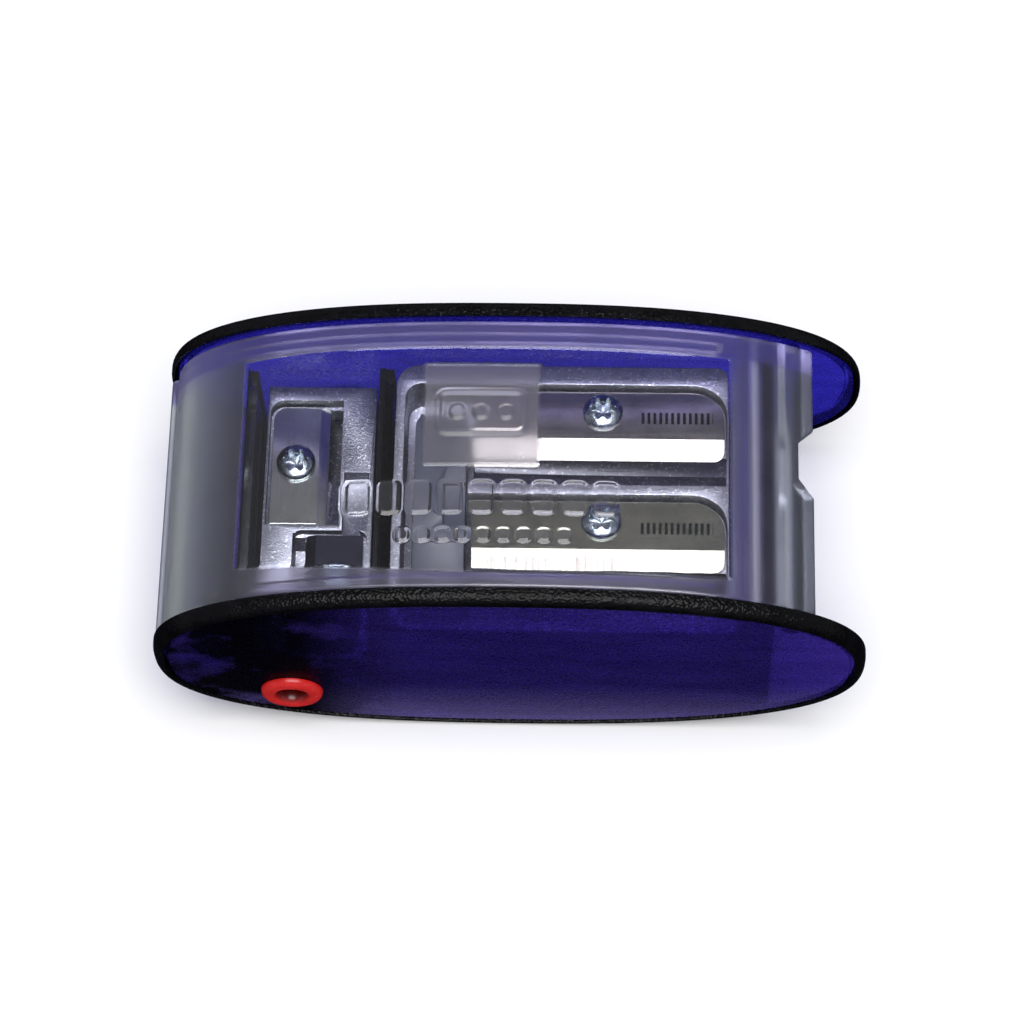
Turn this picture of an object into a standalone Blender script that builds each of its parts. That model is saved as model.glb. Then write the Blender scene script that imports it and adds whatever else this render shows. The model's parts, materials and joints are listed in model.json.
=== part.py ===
"""Hand-held pencil sharpener: a two-hole block, a lead pointer, spare blades and a hinged lid in a case.

+X is the end where the pencils go in, +Y is the back panel and +Z is up. The origin is under the middle
of the case, on the surface that it stands on.
"""

import math

import bmesh
import bpy
from mathutils import Matrix, Vector

MM = 0.001
MERGE = 0.001 * MM  # points closer than this are one point

# Case: two oval panels, each inside a soft band, with the tray and the lid between them
LENGTH = 62 * MM
HEIGHT = 27 * MM
PANEL_INSIDE = 13 * MM  # half the distance between the panels
PANEL_OUTSIDE = 14.4 * MM
BAND_OUTSIDE = 14.5 * MM
OVAL_POWER = 2.46  # exponent of the superellipse: 2 is an ellipse, more is squarer
OVAL_STEPS = 64
FOOT_FLAT = 0.1 * MM  # how much of the bands is flattened for the case to stand on
BAND_WIDTH = 1.0 * MM
BAND_LIP = 0.3 * MM  # what is left of the band's width beside the panel's flange
FLANGE_THICKNESS = 0.5 * MM
GAP = 0.3 * MM
SMALL_GAP = 0.1 * MM

HALF_LENGTH = LENGTH / 2
HALF_HEIGHT = (HEIGHT + FOOT_FLAT) / 2
CENTRE_Z = HEIGHT - HALF_HEIGHT

# Tray and lid, a little smaller than the bands' outline
SHELL_HALF_LENGTH = 30.3 * MM
SHELL_HALF_HEIGHT = 12.9 * MM
SHELL_HALF_WIDTH = 12.75 * MM
SHELL_WALL = 1.3 * MM
PARTING_Z = 13.2 * MM
END_WALL = (21.6 * MM, 22.9 * MM)
END_WALL_TOP = 19.9 * MM
END_WALL_FOOT = 4.4 * MM

# Lid and its hinge
LID_FOOT_Z = 13.5 * MM
LID_TAIL_X = 26.4 * MM
LIP_X = 30.9 * MM
LIP_THICKNESS = 0.9 * MM
HINGE_X = 24.3 * MM
HINGE_Z = 21.1 * MM
BARREL_RADIUS = 1.25 * MM
TRUNNION_RADIUS = 0.9 * MM
TRUNNION_LENGTH = 0.9 * MM
RUNNING_FIT = 0.06 * MM
LID_RIB_Y = 11.2 * MM
LID_RIB_DEPTH = 0.8 * MM
LID_RIB_WIDTH = 0.8 * MM
LID_RIB_X = (-26.5 * MM, 19.0 * MM)
CROSS_RIB_X = (21.2 * MM, 22.5 * MM)
CROSS_RIB_WIDTH = 0.4 * MM
CROSS_RIB_DEPTH = 0.9 * MM
NOTCH_Y = 1.6 * MM
NOTCH_FLOOR_X = 25.05 * MM
NOTCH_FLOOR_WIDTH = 3.5 * MM
NOTCH_MOUTH_WIDTH = 7.2 * MM
NOTCH_DEPTH = 4 * MM

# Two-hole sharpener block and its blades
BLOCK_X = (-10.4 * MM, 19.7 * MM)
BLOCK_HALF_WIDTH = 12.65 * MM
BLOCK_Z = (5.5 * MM, 17.7 * MM)
BLOCK_CORNER = 2.0 * MM
BLOCK_SMALL_CORNER = 0.6 * MM
EDGE_Y = {"wood": 3.9 * MM, "graphite": -6.9 * MM}  # the two cutting edges
SEAT_Z = 16.2 * MM
BLADE_X = (-3.4 * MM, 18.7 * MM)
BLADE_WIDTH = 6.6 * MM
BLADE_THICKNESS = 0.6 * MM
BEVEL_WIDTH = 2.0 * MM
EDGE_THICKNESS = 0.12 * MM
BLADE_CORNER = 3.0 * MM
BLADE_SMALL_CORNER = 1.1 * MM
CUT_OVER = 0.5 * MM  # how far a cutter runs past what it cuts
BLADE_Z = SEAT_Z + SMALL_GAP
BORE_RADIUS = {"wood": 4.15 * MM, "graphite": 4.15 * MM}
TIP_RADIUS = {"wood": 1.3 * MM, "graphite": 0.4 * MM}  # the wood hole leaves the lead whole
BORE_MOUTH_X = 18.8 * MM
BORE_TIP_X = -3.4 * MM
BORE_RUN_OUT = 6 * MM  # how far a bore's cutter runs on, through the end wall
SLOT_DEPTH = 1.2 * MM  # the slots beside the cutting edges
SLOT_TOP_WIDTH = 3.0 * MM
SLOT_SLOPE_FOOT = (2.7 * MM, 0.9 * MM)
SLOT_BEHIND_EDGE = 0.1 * MM
SCREW_X = 7.9 * MM
SCREW_FROM_EDGE = 4.6 * MM
STOP_X = (-8.6 * MM, -4.0 * MM)
STOP_Y = (-11.6 * MM, 8.2 * MM)
STOP_Z = (13.2 * MM, 17.2 * MM)
STOP_CORNERS = (0, 0, 0.3 * MM, 1.2 * MM)
STOP_ROOM = (0.9 * MM, 0.5 * MM, 2.6 * MM)  # beside the stop plate: at its left, in front and behind
STOP_POCKET_CORNER = 1.4 * MM

# Screws, all of one size
HEAD_RADIUS = 1.75 * MM
HEAD_HEIGHT = 0.95 * MM
HEAD_RIM = 0.3 * MM
DOME_STEPS = 5
SHANK_RADIUS = 0.95 * MM
SHANK_LENGTH = 3.2 * MM
RECESS_RADIUS = 0.95 * MM
RECESS_DEPTH = 0.55 * MM

# Lead pointer block, its two blades and the bushes that guide the leads through the panels
POINTER_X = (-22.1 * MM, -12.4 * MM)
POINTER_Z = (5.2 * MM, 13.1 * MM)
POINTER_EDGE_X = {"back": -16.5 * MM, "front": -18.2 * MM}
POINTER_BLADE_WIDTH = 5.1 * MM
POINTER_BLADE_THICKNESS = 0.5 * MM
POINTER_CORNER = 1.3 * MM
POINTER_BESIDE = 1.15 * MM  # width of the slot beside a pointer blade's edge
POINTER_OPEN_END = 2 * MM  # how far the front blade's pocket runs on, out of the block
POINTER_SLOT_FOOT = 4 * MM
POINTER_STEP_Y = (-1.6 * MM, 4.15 * MM)
POINTER_STEP_DEPTH = 1.6 * MM
POINTER_STEP_WALL = 0.4 * MM
POINTER_BLADE_Y = {"back": (-0.8 * MM, 11.0 * MM), "front": (-12.3 * MM, -1.9 * MM)}
POINTER_BLADE_HIGH_Z = 12.7 * MM
POINTER_BLADE_SLOPE = math.radians(1.5)
POINTER_SCREW_Y = {"back": 5.2 * MM, "front": -6.6 * MM}
POINTER_SCREW_X = {"back": -19.4 * MM, "front": -15.3 * MM}
BUSH_X = {"front": -19.3 * MM, "back": -15.3 * MM}
BUSH_Z = 7.5 * MM
BUSH_FLANGE_RADIUS = 2.75 * MM
BUSH_PROUD = 0.6 * MM
BUSH_BODY_RADIUS = 2.1 * MM
BUSH_HOLE_RADIUS = {"front": 1.15 * MM, "back": 1.75 * MM}
BUSH_MOUTH_RADIUS = 1.95 * MM
BUSH_INNER_Y = 12.8 * MM
BUSH_ROUND_OFF = 0.2 * MM
LEAD_TIP_Y = 1.0 * MM  # where a lead's point comes to, under its blade's high end
LEAD_TIP_DEPTH = 0.9 * MM
LEAD_TIP_RADIUS = 0.2 * MM
LEAD_STRAIGHT = 0.45  # share of a lead bore that isn't tapered

# Ribs on the tray's floor: start, end, foot and the block's underside
FLOOR_RIB_Y = 7.5 * MM
FLOOR_RIB_WIDTH = 1.2 * MM
FLOOR_RIBS = {
    "sharpener": (-8 * MM, 12 * MM, 1.4 * MM, BLOCK_Z[0]),
    "pointer": (-17 * MM, -13 * MM, 2.2 * MM, POINTER_Z[0]),
}

# Spare blades, standing on edge across the tray
SPARE_X = {"middle": -11.05 * MM, "left": -23.2 * MM}
SPARE_TOP_Z = {"middle": 18.0 * MM, "left": 17.7 * MM}
SPARE_LENGTH = 22.1 * MM
SPARE_RIB = 0.5 * MM
SPARE_RIB_FOOT = {"middle": 1.6 * MM, "left": 4.6 * MM}
SPARE_POST_TOP = {"middle": 17.0 * MM, "left": 16.4 * MM}

SIDES = {"front": -1, "back": 1}
AXIS_TURNS = {
    "X": Matrix(((0, 0, 1), (1, 0, 0), (0, 1, 0))).to_4x4(),
    "Y": Matrix(((1, 0, 0), (0, 0, -1), (0, 1, 0))).to_4x4(),
    "Z": Matrix.Identity(4),
}
AXIS_WAYS = {"X": Vector((1, 0, 0)), "Y": Vector((0, 1, 0)), "Z": Vector((0, 0, 1))}


def clear_scene():
    for obj in list(bpy.data.objects):
        bpy.data.objects.remove(obj, do_unlink=True)


def new_collection(name):
    collection = bpy.data.collections.new(name)
    bpy.context.scene.collection.children.link(collection)
    return collection


def material(name, colour, roughness, metallic=0.0, transmission=0.0):
    made = bpy.data.materials.new(name)
    made.use_nodes = True
    shader = made.node_tree.nodes["Principled BSDF"]
    shader.inputs["Base Color"].default_value = (*colour, 1)
    shader.inputs["Roughness"].default_value = roughness
    shader.inputs["Metallic"].default_value = metallic
    shader.inputs["Transmission Weight"].default_value = transmission
    return made


def finish(obj, look):
    """Gives the piece its material and shades its round faces smooth."""
    obj.data.materials.clear()
    obj.data.materials.append(look)
    obj.data.shade_smooth()
    obj.data.set_sharp_from_angle(angle=math.radians(30))
    return obj


# --- Outlines ---------------------------------------------------------------------------------------


def oval_point(turn, half_length, half_height):
    """Point of the superellipse at an angle, as (x, z)."""
    across, up = math.cos(turn), math.sin(turn)
    power = 2 / OVAL_POWER
    return (
        math.copysign(half_length * abs(across) ** power, across),
        CENTRE_Z + math.copysign(half_height * abs(up) ** power, up),
    )


def oval(half_length, half_height):
    turns = (2 * math.pi * step / OVAL_STEPS for step in range(OVAL_STEPS))
    return [oval_point(turn, half_length, half_height) for turn in turns]


def oval_height(x, half_length, half_height):
    """How far the superellipse is from the middle height at x."""
    return half_height * (1 - abs(x / half_length) ** OVAL_POWER) ** (1 / OVAL_POWER)


def oval_turn(x, half_length):
    """The angle at which the upper half of the superellipse passes x."""
    return math.acos(math.copysign(abs(x / half_length) ** (OVAL_POWER / 2), x))


def oval_band(start, end, steps, inset, depth):
    """Outline of a strip of the shell between two angles, inset from its outer face and so deep."""
    turns = [start + (end - start) * step / steps for step in range(steps + 1)]
    outer = [(SHELL_HALF_LENGTH - inset, SHELL_HALF_HEIGHT - inset)] * len(turns)
    inner = [(a - depth, b - depth) for a, b in outer]
    there = [oval_point(turn, a, b) for turn, (a, b) in zip(turns, outer)]
    back = [oval_point(turn, a, b) for turn, (a, b) in zip(turns, inner)]
    return there + back[::-1]


def rounded_rectangle(low, high, radii, steps=5):
    """Outline with its own radius at each corner, from the low corner counter-clockwise."""
    corners = ((low[0], low[1]), (high[0], low[1]), (high[0], high[1]), (low[0], high[1]))
    inward = ((1, 1), (-1, 1), (-1, -1), (1, -1))
    points = []
    for number, ((x, y), (in_x, in_y), radius) in enumerate(zip(corners, inward, radii)):
        if radius == 0:
            points.append((x, y))
            continue
        for step in range(steps + 1):
            turn = math.pi + (number + step / steps) * math.pi / 2
            points.append(
                (
                    x + radius * (in_x + math.cos(turn)),
                    y + radius * (in_y + math.sin(turn)),
                )
            )
    return points


# --- Solids ------------------------------------------------------------------------------------------


def as_mesh(drawn, collection):
    """A curve object made a mesh, with its caps welded on."""
    bpy.context.view_layer.update()
    evaluated = drawn.evaluated_get(bpy.context.evaluated_depsgraph_get())
    mesh = bpy.data.meshes.new_from_object(evaluated)
    shape = bmesh.new()
    shape.from_mesh(mesh)
    bmesh.ops.remove_doubles(shape, verts=shape.verts, dist=MERGE)
    bmesh.ops.recalc_face_normals(shape, faces=shape.faces)
    shape.to_mesh(mesh)
    shape.free()
    name = drawn.name
    place = drawn.matrix_world.copy()
    bpy.data.objects.remove(drawn, do_unlink=True)
    obj = bpy.data.objects.new(name, mesh)
    obj.matrix_world = place
    collection.objects.link(obj)
    return obj


def prism(name, outlines, axis, low, high, collection):
    """Flat outlines, the first one outside and the rest holes, drawn out from low to high along an axis."""
    curve = bpy.data.curves.new(name, "CURVE")
    curve.dimensions = "2D"
    curve.fill_mode = "BOTH"
    curve.extrude = (high - low) / 2
    for outline in outlines:
        spline = curve.splines.new("POLY")
        spline.points.add(len(outline) - 1)
        for point, (across, up) in zip(spline.points, outline):
            point.co = (across, up, 0, 1)
        spline.use_cyclic_u = True
    drawn = bpy.data.objects.new(name, curve)
    collection.objects.link(drawn)
    drawn.matrix_world = Matrix.Translation(AXIS_WAYS[axis] * (low + high) / 2) @ AXIS_TURNS[axis]
    return as_mesh(drawn, collection)


def block(name, low, high, collection):
    """Box between two corners."""
    mesh = bpy.data.meshes.new(name)
    shape = bmesh.new()
    bmesh.ops.create_cube(shape, size=1)
    low, high = Vector(low), Vector(high)
    bmesh.ops.scale(shape, vec=high - low, verts=shape.verts)
    bmesh.ops.translate(shape, vec=(low + high) / 2, verts=shape.verts)
    shape.to_mesh(mesh)
    shape.free()
    obj = bpy.data.objects.new(name, mesh)
    collection.objects.link(obj)
    return obj


def cone(name, start, end, radius, end_radius, collection, sides=24):
    """Cylinder or cone from one point to another."""
    start, end = Vector(start), Vector(end)
    mesh = bpy.data.meshes.new(name)
    shape = bmesh.new()
    bmesh.ops.create_cone(
        shape,
        cap_ends=True,
        segments=sides,
        radius1=radius,
        radius2=end_radius,
        depth=(end - start).length,
    )
    shape.to_mesh(mesh)
    shape.free()
    obj = bpy.data.objects.new(name, mesh)
    obj.location = (start + end) / 2
    obj.rotation_mode = "QUATERNION"
    obj.rotation_quaternion = (end - start).to_track_quat("Z", "Y")
    collection.objects.link(obj)
    return obj


def turned(name, profile, closed, collection, sides=28):
    """Profile of (radius, height) points, from the top down its outer side, turned about Z."""
    mesh = bpy.data.meshes.new(name)
    edges = [(i, i + 1) for i in range(len(profile) - 1)]
    if closed:
        edges.append((len(profile) - 1, 0))
    mesh.from_pydata([(radius, 0, height) for radius, height in profile], edges, [])
    obj = bpy.data.objects.new(name, mesh)
    collection.objects.link(obj)
    screw = obj.modifiers.new("Turn", "SCREW")
    screw.axis = "Z"
    screw.steps = sides
    screw.render_steps = sides
    screw.use_merge_vertices = True
    screw.merge_threshold = MERGE
    return obj


def boolean(obj, other, operation):
    modifier = obj.modifiers.new(operation.title(), "BOOLEAN")
    modifier.operation = operation
    modifier.solver = "EXACT"
    modifier.object = other
    other.hide_render = True
    other.display_type = "WIRE"


def cut(obj, *cutters):
    for cutter in cutters:
        boolean(obj, cutter, "DIFFERENCE")


def join(obj, *others):
    for other in others:
        boolean(obj, other, "UNION")


def span(side, near, far):
    """The stretch between two distances from the middle, on the front or the back."""
    ends = (SIDES[side] * near, SIDES[side] * far)
    return min(ends), max(ends)


# --- Panels, bands and bushes ------------------------------------------------------------------------


def rim_band(side, part, cutters):
    """Soft ring round a panel, with a rebate for the panel's flange and a flat to stand on."""
    name = f"rim_band_{side}"
    outside = oval(HALF_LENGTH, HALF_HEIGHT)
    inside = oval(HALF_LENGTH - BAND_WIDTH, HALF_HEIGHT - BAND_WIDTH)
    band = prism(name, [outside, inside], "Y", *span(side, PANEL_INSIDE, BAND_OUTSIDE), part)
    rebate = prism(
        f"{name}_rebate",
        [oval(HALF_LENGTH - BAND_LIP, HALF_HEIGHT - BAND_LIP)],
        "Y",
        *span(side, PANEL_INSIDE - GAP, PANEL_INSIDE + FLANGE_THICKNESS + GAP),
        cutters,
    )
    reach = HALF_LENGTH
    under = block(f"{name}_flat", (-reach, -reach, -reach), (reach, reach, 0), cutters)
    cut(band, rebate, under)
    return band


def side_panel(side, part, cutters):
    """Oval panel with a flange behind the band, a blind hinge socket and a hole for the bush."""
    name = f"side_panel_{side}"
    inset = BAND_WIDTH + GAP
    face = oval(HALF_LENGTH - inset, HALF_HEIGHT - inset)
    panel = prism(name, [face], "Y", *span(side, PANEL_INSIDE, PANEL_OUTSIDE), part)
    inset = BAND_LIP + GAP
    edge = oval(HALF_LENGTH - inset, HALF_HEIGHT - inset)
    flange_span = span(side, PANEL_INSIDE, PANEL_INSIDE + FLANGE_THICKNESS)
    join(panel, prism(f"{name}_flange", [edge], "Y", *flange_span, cutters))
    way = SIDES[side]
    socket_end = SHELL_HALF_WIDTH + TRUNNION_LENGTH + SMALL_GAP
    socket = cone(
        f"{name}_hinge_socket",
        (HINGE_X, way * (PANEL_INSIDE - GAP), HINGE_Z),
        (HINGE_X, way * socket_end, HINGE_Z),
        TRUNNION_RADIUS + RUNNING_FIT,
        TRUNNION_RADIUS + RUNNING_FIT,
        cutters,
    )
    hole = cone(
        f"{name}_bush_hole",
        (BUSH_X[side], way * (PANEL_INSIDE - GAP), BUSH_Z),
        (BUSH_X[side], way * (PANEL_OUTSIDE + GAP), BUSH_Z),
        BUSH_BODY_RADIUS + SMALL_GAP,
        BUSH_BODY_RADIUS + SMALL_GAP,
        cutters,
    )
    cut(panel, socket, hole)
    return panel


def lead_bush(side, part):
    """Flanged bush with a flared mouth, pressed into the panel from outside."""
    hole = BUSH_HOLE_RADIUS[side]
    flange_back = PANEL_OUTSIDE + SMALL_GAP / 2
    flange_front = BAND_OUTSIDE + BUSH_PROUD
    profile = [
        (BUSH_MOUTH_RADIUS, flange_front),
        (BUSH_FLANGE_RADIUS - BUSH_ROUND_OFF, flange_front),
        (BUSH_FLANGE_RADIUS, flange_front - BUSH_ROUND_OFF),
        (BUSH_FLANGE_RADIUS, flange_back),
        (BUSH_BODY_RADIUS, flange_back),
        (BUSH_BODY_RADIUS, BUSH_INNER_Y),
        (hole, BUSH_INNER_Y),
        (hole, flange_back),
    ]
    bush = turned(f"lead_bush_{side}", profile, True, part)
    bush.location = (BUSH_X[side], 0, BUSH_Z)
    bush.rotation_euler = (-SIDES[side] * math.pi / 2, 0, 0)
    return bush


# --- Tray --------------------------------------------------------------------------------------------


def tray_outline():
    """Section of the tray: from the parting line on the left, under the blocks, to the end wall."""
    start = -math.pi + math.asin(
        ((CENTRE_Z - PARTING_Z) / SHELL_HALF_HEIGHT) ** (OVAL_POWER / 2)
    )
    end = -oval_turn(END_WALL[1], SHELL_HALF_LENGTH)
    return oval_band(start, end, OVAL_STEPS // 2, 0, SHELL_WALL)


def spare_holder(place, cutters):
    """Wall behind a spare blade, and a shelf under it with a post at each of its ends."""
    x = SPARE_X[place]
    foot = SPARE_RIB_FOOT[place]
    top = SPARE_POST_TOP[place]
    face = x - BLADE_THICKNESS / 2 - SMALL_GAP
    wall_half = SHELL_HALF_WIDTH - SMALL_GAP
    wall = block(
        f"spare_wall_{place}",
        (face - SPARE_RIB, -wall_half, foot),
        (face, wall_half, top),
        cutters,
    )
    half = wall_half - SMALL_GAP
    post_y = SPARE_LENGTH / 2 + SMALL_GAP
    post_top = top - SMALL_GAP
    shelf_foot = foot + SMALL_GAP
    shelf_top = SPARE_TOP_Z[place] - BLADE_WIDTH - SMALL_GAP
    cradle = [
        (-half, shelf_foot),
        (half, shelf_foot),
        (half, post_top),
        (post_y, post_top),
        (post_y, shelf_top),
        (-post_y, shelf_top),
        (-post_y, post_top),
        (-half, post_top),
    ]
    ends = face - SPARE_RIB / 2, x + BLADE_THICKNESS / 2 + SMALL_GAP
    return wall, prism(f"spare_cradle_{place}", [cradle], "X", *ends, cutters)


def block_ribs(cutters):
    """Ribs on the tray's floor that carry the two metal blocks."""
    ribs = []
    for side, way in SIDES.items():
        low_y = way * FLOOR_RIB_Y - FLOOR_RIB_WIDTH / 2
        high_y = low_y + FLOOR_RIB_WIDTH
        for name, (start, end, foot, top) in FLOOR_RIBS.items():
            low, high = (start, low_y, foot), (end, high_y, top - GAP)
            ribs.append(block(f"{name}_rib_{side}", low, high, cutters))
    return ribs


def base_tray(part, cutters):
    """Curved floor between the panels, with the end wall, the ribs and the holders for the spare blades."""
    width = SHELL_HALF_WIDTH
    tray = prism("base_tray", [tray_outline()], "Y", -width, width, part)
    wall_half = width - SMALL_GAP
    end_wall = block(
        "end_wall",
        (END_WALL[0], -wall_half, END_WALL_FOOT),
        (END_WALL[1] - SMALL_GAP, wall_half, END_WALL_TOP),
        cutters,
    )
    join(tray, end_wall, *block_ribs(cutters))
    for place in SPARE_X:
        join(tray, *spare_holder(place, cutters))
    for hole in EDGE_Y:
        cut(tray, bore(hole, "end_wall_hole", SMALL_GAP, cutters))
    return tray


# --- Sharpener block ---------------------------------------------------------------------------------


def bore(hole, name, clearance, cutters):
    """Hole for a pencil: straight from outside the end wall, then a cone whose top lies level."""
    radius, tip_radius = BORE_RADIUS[hole] + clearance, TIP_RADIUS[hole] + clearance
    length = BORE_MOUTH_X - BORE_TIP_X
    lean = math.atan2(radius - tip_radius, length)
    cone_length = length / math.cos(lean)
    profile = [
        (0, BORE_RUN_OUT),
        (radius, BORE_RUN_OUT),
        (radius, 0),
        (tip_radius, -cone_length),
        (0, -cone_length),
    ]
    cutter = turned(f"{name}_{hole}", profile, False, cutters, sides=32)
    cutter.location = (BORE_MOUTH_X, EDGE_Y[hole], BLADE_Z - BORE_RADIUS[hole] / math.cos(lean))
    cutter.rotation_euler = (0, math.pi / 2 + lean, 0)
    return cutter


def seat(hole, cutters):
    """Level recess that a blade lies in, open towards the pencil's end, with one rounded corner."""
    edge = EDGE_Y[hole]
    outline = rounded_rectangle(
        (BLADE_X[0] - GAP, edge - CUT_OVER),
        (BLADE_X[1] + GAP, edge + BLADE_WIDTH + GAP),
        (0, 0, BLADE_CORNER + GAP, 0),
    )
    return prism(f"seat_{hole}", [outline], "Z", SEAT_Z, BLOCK_Z[1] + GAP, cutters)


def shavings_slot(hole, cutters):
    """Sloping opening in front of a cutting edge, down into its bore."""
    edge = EDGE_Y[hole]
    top = BLOCK_Z[1] + GAP
    outline = [
        (edge + SLOT_BEHIND_EDGE, SEAT_Z - SLOT_DEPTH),
        (edge + SLOT_BEHIND_EDGE, top),
        (edge - SLOT_TOP_WIDTH, top),
        (edge - SLOT_SLOPE_FOOT[0], SEAT_Z + SLOT_SLOPE_FOOT[1]),
    ]
    start, end = BLADE_X[0] - SMALL_GAP, BLADE_X[1] + SMALL_GAP
    return prism(f"shavings_slot_{hole}", [outline], "X", start, end, cutters)


def sharpener_block(part, cutters):
    """Cast block with two tapered bores, two blade seats and a pocket for the stop plate."""
    low = (BLOCK_X[0], -BLOCK_HALF_WIDTH)
    high = (BLOCK_X[1], BLOCK_HALF_WIDTH)
    outline = rounded_rectangle(low, high, (BLOCK_CORNER, BLOCK_SMALL_CORNER, BLOCK_CORNER, BLOCK_CORNER))
    body = prism("sharpener_block", [outline], "Z", *BLOCK_Z, part)
    stop_pocket = prism(
        "stop_pocket",
        [
            rounded_rectangle(
                (STOP_X[0] - STOP_ROOM[0], STOP_Y[0] - STOP_ROOM[1]),
                (BLADE_X[0], STOP_Y[1] + STOP_ROOM[2]),
                (0, 0, 0, STOP_POCKET_CORNER),
            )
        ],
        "Z",
        STOP_Z[0] - SMALL_GAP,
        BLOCK_Z[1] + GAP,
        cutters,
    )
    cut(body, stop_pocket)
    for hole in EDGE_Y:
        cut(body, seat(hole, cutters), shavings_slot(hole, cutters))
        cut(body, bore(hole, "block_bore", 0, cutters))
        x, y = SCREW_X, EDGE_Y[hole] + SCREW_FROM_EDGE
        foot = SEAT_Z - SHANK_LENGTH - GAP
        radius = SHANK_RADIUS + SMALL_GAP
        tapped = cone(f"tapped_{hole}", (x, y, foot), (x, y, SEAT_Z + GAP), radius, radius, cutters)
        cut(body, tapped)
    return body


def stop_plate(part):
    """Plate across the narrow ends of both cones, which stops the pencil when its point is long enough."""
    low, high = (STOP_X[0], STOP_Y[0]), (STOP_X[1], STOP_Y[1])
    outline = rounded_rectangle(low, high, STOP_CORNERS)
    return prism("point_stop_plate", [outline], "Z", *STOP_Z, part)


def sharpening_blade(hole, part, cutters):
    """Flat blade with one ground edge, two rounded corners and a hole for its screw."""
    name = f"{hole}_blade"
    edge = EDGE_Y[hole]
    outline = rounded_rectangle(
        (BLADE_X[0], edge),
        (BLADE_X[1], edge + BLADE_WIDTH),
        (0, BLADE_SMALL_CORNER, BLADE_CORNER, 0),
    )
    top = BLADE_Z + BLADE_THICKNESS
    blade = prism(name, [outline], "Z", BLADE_Z, top, part)
    slope = (BLADE_THICKNESS - EDGE_THICKNESS) / BEVEL_WIDTH
    grind = [
        (edge - CUT_OVER, BLADE_Z + EDGE_THICKNESS - CUT_OVER * slope),
        (edge + BEVEL_WIDTH, top),
        (edge + BEVEL_WIDTH, top + CUT_OVER),
        (edge - CUT_OVER, top + CUT_OVER),
    ]
    ends = BLADE_X[0] - CUT_OVER, BLADE_X[1] + CUT_OVER
    ground = prism(f"{name}_grind", [grind], "X", *ends, cutters)
    x, y = SCREW_X, edge + SCREW_FROM_EDGE
    radius = SHANK_RADIUS + SMALL_GAP
    low, high = (x, y, BLADE_Z - CUT_OVER), (x, y, top + CUT_OVER)
    cut(blade, ground, cone(f"{name}_hole", low, high, radius, radius, cutters))
    return blade


def blade_screw(name, x, y, z, part, cutters):
    """Domed screw whose head rests on a blade at height z."""
    dome = []
    for step in range(DOME_STEPS + 1):
        turn = math.pi / 2 * (1 - step / DOME_STEPS)
        radius = HEAD_RADIUS * math.cos(turn)
        dome.append((radius, HEAD_RIM + (HEAD_HEIGHT - HEAD_RIM) * math.sin(turn)))
    dome[0] = (0, HEAD_HEIGHT)
    profile = dome + [
        (HEAD_RADIUS, 0),
        (SHANK_RADIUS, 0),
        (SHANK_RADIUS, -SHANK_LENGTH),
        (0, -SHANK_LENGTH),
    ]
    screw = turned(name, profile, False, part, sides=24)
    screw.location = (x, y, z + SMALL_GAP / 2)
    floor = (x, y, z + HEAD_HEIGHT - RECESS_DEPTH)
    over = (x, y, z + HEAD_HEIGHT + GAP)
    radius = RECESS_RADIUS
    cut(screw, cone(f"{name}_recess", floor, over, radius, radius, cutters, sides=6))
    return screw


# --- Lead pointer ------------------------------------------------------------------------------------


def pointer_frame(side):
    """Place and lean of a pointer blade: highest at its inner end and lower towards the panel."""
    ends = POINTER_BLADE_Y[side]
    inner = ends[0] if side == "back" else ends[1]
    lean = -SIDES[side] * POINTER_BLADE_SLOPE
    return Matrix.Translation((0, inner, POINTER_BLADE_HIGH_Z)) @ Matrix.Rotation(lean, 4, "X")


def pointer_blade_corners(side, clearance=0.0):
    """Low and high corners of a pointer blade in its own frame."""
    edge = POINTER_EDGE_X[side]
    far = edge - SIDES[side] * POINTER_BLADE_WIDTH
    start, end = POINTER_BLADE_Y[side]
    length = (end - start) * SIDES[side]
    low = (min(edge, far) - clearance, min(0, length) - clearance)
    high = (max(edge, far) + clearance, max(0, length) + clearance)
    return low, high


def pointer_blade(side, part):
    """Short blade of the lead pointer, with one rounded corner."""
    name = f"pointer_blade_{side}"
    low, high = pointer_blade_corners(side)
    corner = POINTER_CORNER
    radii = (0, 0, 0, corner) if side == "back" else (0, corner, 0, 0)
    outline = rounded_rectangle(low, high, radii)
    blade = prism(name, [outline], "Z", -POINTER_BLADE_THICKNESS, 0, part)
    blade.matrix_world = pointer_frame(side) @ blade.matrix_world
    return blade


def pointer_pocket(side, cutters):
    """Recess for a pointer blade, with a deeper slot beside its cutting edge."""
    low, high = pointer_blade_corners(side, GAP)
    edge_out = SIDES[side] * POINTER_BESIDE
    if side == "back":
        high = (high[0] + edge_out, high[1])
    else:
        low = (low[0] + edge_out, low[1] - POINTER_OPEN_END)
    depth = POINTER_BLADE_THICKNESS + SMALL_GAP
    pocket = prism(
        f"pointer_pocket_{side}",
        [rounded_rectangle(low, high, (0, 0, 0, 0))],
        "Z",
        -depth,
        POINTER_Z[1],
        cutters,
    )
    pocket.matrix_world = pointer_frame(side) @ pocket.matrix_world
    edge = POINTER_EDGE_X[side]
    slot_x = sorted((edge - SIDES[side] * GAP, edge + edge_out))
    slot_y = POINTER_BLADE_Y[side]
    slot = block(
        f"pointer_slot_{side}",
        (slot_x[0], slot_y[0], POINTER_Z[0] + POINTER_SLOT_FOOT),
        (slot_x[1], slot_y[1], POINTER_Z[1] + GAP),
        cutters,
    )
    return pocket, slot


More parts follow.
